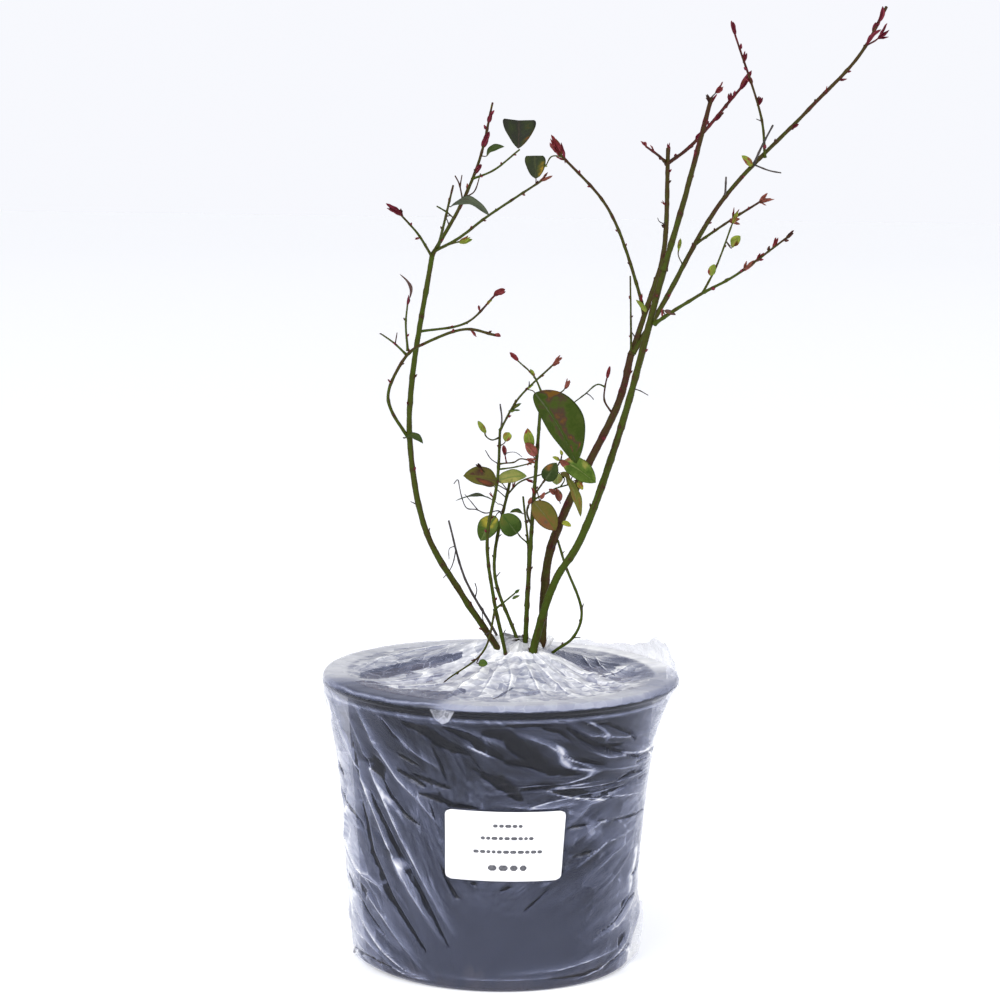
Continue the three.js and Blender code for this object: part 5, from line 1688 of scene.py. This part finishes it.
# Each opening bud or cluster: where it grows, its reach, its count of leaflets, its look, how far
# it spreads, how plump its leaflets are, and what is added to its limb's direction, if anything.
SHOOTS = [
    ("back_reach", 0.93, 4.5, 3, "crimson", 0.6, 0.2, (0, 0, 1)),
    ("reach_fork", 1.0, 6.5, 6, "crimson", 1.0, 0.2),
    ("back_reach", 0.80, 4, 2, "crimson", 0.4, 0.26, (1, 0, -0.5)),
    ("back_reach_shoot", 1.0, 7, 4, "crimson", 0.5, 0.14),
    ("back_reach_shoot", 0.42, 4, 3, "crimson", 0.6, 0.22, (1, 0, 0.6)),
    ("back_reach_shoot", 0.60, 4, 3, "crimson", 0.5, 0.24, (-0.6, 0, 1)),
    ("back_reach_shoot", 0.78, 4.5, 3, "crimson", 0.5, 0.24, (0.8, 0, 0.8)),
    ("back_upright_shoot", 1.0, 10, 3, "crimson", 0.25, 0.16, (0, 0, 0.3)),
    ("back_upright_shoot", 0.36, 4.5, 3, "crimson", 0.4, 0.24, (0, 0, 0.6)),
    ("back_upright_shoot", 0.62, 5, 3, "crimson", 0.4, 0.24, (0.4, 0, 0)),
    ("back_upright_shoot", 0.84, 4.5, 3, "crimson", 0.4, 0.24, (-0.4, 0, 0.8)),
    ("back_upright", 0.985, 4, 3, "crimson", 0.6, 0.22),
    ("back_upright", 0.83, 3.2, 2, "bud", 0.4, 0.3, (1, 0, 0)),
    ("back_upright", 0.62, 3.2, 2, "bud", 0.4, 0.3, (-1, -0.5, 0)),
    ("back_upright_spur", 1.0, 4.5, 3, "red", 0.7, 0.2, (0, 0, 0.3)),
    ("front_cane_top", 0.97, 5, 3, "bud", 1.0, 0.14, (-0.9, 0, 0.3)),
    ("front_stub", 1.0, 5, 5, "red", 1.3, 0.22, (0.4, 0, 0.5)),
    ("front_cane_top", 0.98, 4.5, 3, "crimson", 0.6, 0.2, (0.8, 0, 0.5)),
    ("left_cane_top", 0.97, 3.0, 3, "lime_red", 0.3, 0.22),
    ("left_cane_top", 0.88, 5.0, 4, "crimson", 0.35, 0.26, (0.1, 0, 0.3)),
    ("left_cane_top", 0.74, 5.5, 4, "crimson", 0.35, 0.24, (0.2, 0, 0.2)),
    ("left_cane_top", 0.80, 3.0, 2, "lime_red", 0.4, 0.26, (0.6, 0, 0.6)),
    ("left_cane_top", 0.56, 4.5, 4, "crimson", 0.5, 0.22, (0.6, -0.5, 0.3)),
    ("left_cane_spur", 1.0, 8, 4, "crimson", 0.8, 0.16, (-0.3, 0, 0)),
    ("left_cane_spur", 0.95, 3.5, 2, "bud", 0.5, 0.3, (0.5, 0, 1)),
    ("left_cane_reach", 1.0, 6, 5, "red_leaf", 1.3, 0.16),
    ("left_mid_bough", 1.0, 6.5, 4, "red", 0.5, 0.22, (0.2, 0, -0.2)),
    ("left_mid_bough", 0.84, 4, 2, "lime_red", 0.4, 0.24),
    ("left_low_bough", 1.0, 3.2, 3, "red", 0.5, 0.3),
    ("left_low_shoot", 1.0, 5, 3, "crimson", 0.3, 0.16),
    ("left_low_spur", 1.0, 2.5, 2, "bud", 0.4, 0.25),
    ("back_arch", 1.0, 7.5, 5, "red", 0.6, 0.22, (-0.3, 0, 1.2)),
    ("arch_bud_stalk", 1.0, 4, 3, "lime_red", 0.5, 0.2, (0, 0, 1)),
    ("back_arch", 0.95, 8, 2, "crimson", 0.25, 0.17, (0.3, 0, 2)),
    ("front_bough_right", 0.46, 6, 4, "red_leaf", 1.1, 0.17, (0, -0.5, 0.5)),
    ("front_bough_right", 0.62, 5, 4, "red", 1.1, 0.2, (0, 0, 0.6)),
    ("front_bough_right", 0.80, 5, 3, "red", 1.0, 0.16, (0, 0, 1)),
    ("front_bough_right", 0.97, 4.5, 3, "bud", 0.7, 0.24),
    ("back_reach_bough", 0.50, 7.5, 4, "red_leaf", 1.0, 0.15, (-0.3, 0, -0.4)),
    ("back_reach_bough", 0.55, 5, 3, "red", 1.0, 0.18, (0, 0, 0.9)),
    ("back_reach_bough", 0.98, 6.5, 6, "red_leaf", 1.8, 0.17),
    ("front_bough_left", 1.0, 5, 3, "lime_red", 0.7, 0.15),
    ("middle_cane_top", 1.0, 5.5, 4, "red_leaf", 0.8, 0.16),
    ("middle_cane_top", 0.56, 3.5, 3, "lime_red", 0.9, 0.24),
    ("middle_cane_top", 0.25, 5, 4, "green", 1.2, 0.2, (0.8, 0, -0.3)),
    ("fine_cane_tip", 0.45, 4.5, 3, "lime_red", 0.5, 0.26),
    ("fine_cane_tip", 0.98, 5, 3, "red", 0.4, 0.2),
    ("spur_up", 1.0, 5, 4, "red", 0.7, 0.18),
    ("leaf_back_twig", 1.0, 4.5, 3, "red_leaf", 1.0, 0.2, (0, 0, 0.6)),
    ("left_bud_twig", 0.98, 5.5, 4, "lime_red", 0.7, 0.2, (-0.5, 0, 0.3)),
    ("reach_bud_twig", 1.0, 7, 5, "lime_red", 0.8, 0.2, (0, 0, 0.2)),
    ("bud_leaf_twig", 1.0, 7, 3, "lime_red", 0.5, 0.14),
    ("crossing_high", 1.0, 3.5, 4, "red_leaf", 1.2, 0.2),
    ("crossing_low", 0.8, 3, 3, "red_leaf", 1.3, 0.2),
    ("crossing_bud", 1.0, 5, 4, "red", 0.5, 0.24),
    ("olive_bud", 1.0, 4, 3, "bud", 0.9, 0.2),
    ("back_reach", 0.64, 4, 3, "crimson", 0.6, 0.22, (0.6, 0, 0.2)),
    ("back_reach", 0.72, 3.2, 2, "bud", 0.5, 0.25, (-0.6, 0, 0.6)),
    ("low_twig_shoot", 1.0, 3, 3, "green", 0.6, 0.2),
    ("low_twig", 1.0, 2, 2, "bud", 0.4, 0.2),
]

# A leaf closer than this to its limb has no stalk of its own.
SHORT_STALK = 1.5

# Shoots of the year, whose side buds are plump.
RED_SHOOTS = ("back_upright_shoot", "back_upright_spur", "back_reach_shoot", "left_cane_top",
              "front_bough_right")


def grow_leaves(twigs):
    """The single leaves, and their stalks among the twigs."""
    leaves = Batch()
    for seed, (look, parent, share, stalk, blade, half_width, facing, *more) in enumerate(LEAVES):
        root, _ = place_on(parent, share)
        base = root + np.array(stalk, float)
        reach = np.linalg.norm(stalk)
        lead = base + 0.35 * reach * unit(blade) * -0.5
        if reach > SHORT_STALK:
            line = smooth_line([root, lead, base + unit(blade) * 0.6], 0.6)
            tones = np.full((len(line), 6), 0.6)
            tube(twigs, line, np.linspace(0.34, 0.26, len(line)), 6, BARK_LOOK["live"], tone=tones)
        leaf(leaves, base, blade, half_width, facing, look, seed=seed, **dict(*more))
    return leaves


def grow_buds(twigs, shoots, rng):
    """A dormant bud, a small shoot, a dead stub or nothing at each node of the limbs."""
    buds = Batch()
    for limb, thickness, place, out, along in NODES:
        draw = rng.random()
        if limb == "dead_cane":
            continue
        look = "crimson" if rng.random() < 0.25 + (place[2] - 250) / 400 else "bud"
        size = rng.uniform(1.3, 2.3) * (1 if thickness > THICK_LIMB else 0.85)
        size *= 1.7 if limb in RED_SHOOTS else 1
        if draw < 0.75:
            bud(buds, place, out * 0.7 + along, size, size * 0.32, look)
        elif draw < 0.87 and place[2] > 240:
            shoot(shoots, place, out + along, rng.uniform(2.5, 4.0), 2, "red", rng, 0.6, 0.2)
        elif draw < 0.94:
            stub = place + np.outer(np.linspace(0, 1, 5), (out + 0.8 * along) * rng.uniform(1.5, 3.5))
            tube(twigs, stub, np.linspace(0.38, 0.22, 5), 6, BARK_LOOK["dead"])
    return buds


def make_foliage():
    """Twigs, leaves, opening buds and dormant buds, each kind joined into one piece."""
    twigs = Batch()
    for row in TWIGS:
        grow_twig(twigs, *row)
    leaves = grow_leaves(twigs)
    rng = np.random.default_rng(9)
    shoots = Batch()
    for parent, share, reach, count, look, spread, plump, *push in SHOOTS:
        place, direction = place_on(parent, share)
        shoot(shoots, place, direction + np.sum(push, axis=0), reach, count, look, rng, spread, plump)
    buds = grow_buds(twigs, shoots, rng)
    finish_plant(twigs, "twigs", BARK, "bark_brown")
    finish_plant(leaves, "leaves", LEAF, "leaf", "leaf_large", "leaves_low_left", "leaves_low_right",
                 "leaves_middle_right", "leaves_top_left", "leaves_top_middle", "leaves_top_tip",
                 "leaves_right")
    finish_plant(shoots, "shoots", LEAF, "leaf_autumn")
    finish_plant(buds, "buds", LEAF, "bark_red")


def finish_plant(batch, name, finishes, slot, *nodes):
    """One kind of growth as a piece, in place of those nodes."""
    piece = batch.object(name, list(finishes.values()))
    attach(piece, "root")
    if nodes:
        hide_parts(*nodes)


make_foliage()


# ------------------------------------------------------------------ floor and light


def make_stage():
    """A white floor without a seam, that glows more strongly near the pot: painted light that lifts the shade
    cast on it. Soft light all round, and two long lamps for the film's gloss.
    """
    floor, tree, shader, place = nodes_of("floor")
    apart = add_node(tree, "VectorMath", "Value", {0: place}, operation="LENGTH")
    # Painted light: the floor's glow is strongest near the pot and fades with distance.
    near = range_node(tree, apart, 0.30, 0.10, 0.6, 2.2)
    far = range_node(tree, apart, 0.165, 0.10, 1.5, 7.0)
    set_inputs(tree, shader, {"Base Color": (0.93, 0.94, 0.97, 1), "Roughness": 0.9,
                              "Emission Color": (0.96, 0.97, 1.0, 1),
                              "Emission Strength": math_node(tree, "MAXIMUM", near, far)})
    batch = Batch()
    reach = 9000
    corners = [(-reach, -reach, -0.05), (reach, -reach, -0.05), (reach, reach, -0.05), (-reach, reach, -0.05)]
    batch.add(corners, [[0, 1, 2, 3]])
    batch.object("floor", [floor])
    world = bpy.data.worlds.new("studio")
    world.use_nodes = True
    bpy.context.scene.world = world
    tree = world.node_tree
    seen = add_node(tree, "LightPath", "Is Camera Ray", {})
    surface = tree.nodes["Background"]
    set_inputs(tree, surface, {"Color": (0.96, 0.97, 1.0, 1), "Strength": 0.5})
    backdrop = add_node(tree, "Background", "Background", {"Color": (0.935, 0.945, 0.99, 1)})
    mix = add_node(tree, "MixShader", "Shader", {"Fac": seen, 1: surface.outputs["Background"], 2: backdrop})
    set_inputs(tree, tree.nodes["World Output"], {"Surface": mix})
    add_sun("sky", (18, 12, 0), 0.9, 100)
    add_sun("key", (52, 0, -38), 0.9, 40)
    add_lamp("strip_left", (-900, -900, 900), (260, 900), 8)
    add_lamp("strip_right", (1000, -500, 800), (200, 800), 5)


def add_sun(name, degrees, strength, spread):
    data = bpy.data.lights.new(name, "SUN")
    data.energy = strength
    data.angle = math.radians(spread)
    add_object(name, data).rotation_euler = [math.radians(d) for d in degrees]


def add_lamp(name, place, size, power):
    data = bpy.data.lights.new(name, "AREA")
    data.shape = "RECTANGLE"
    data.size = size[0] * MM
    data.size_y = size[1] * MM
    data.energy = power
    lamp = add_object(name, data)
    lamp.location = Vector(place) * MM
    aim = Vector((0, 0, 120)) - Vector(place)
    lamp.rotation_euler = aim.to_track_quat("-Z", "Y").to_euler()


make_stage()
bpy.context.scene.view_settings.view_transform = "Standard"
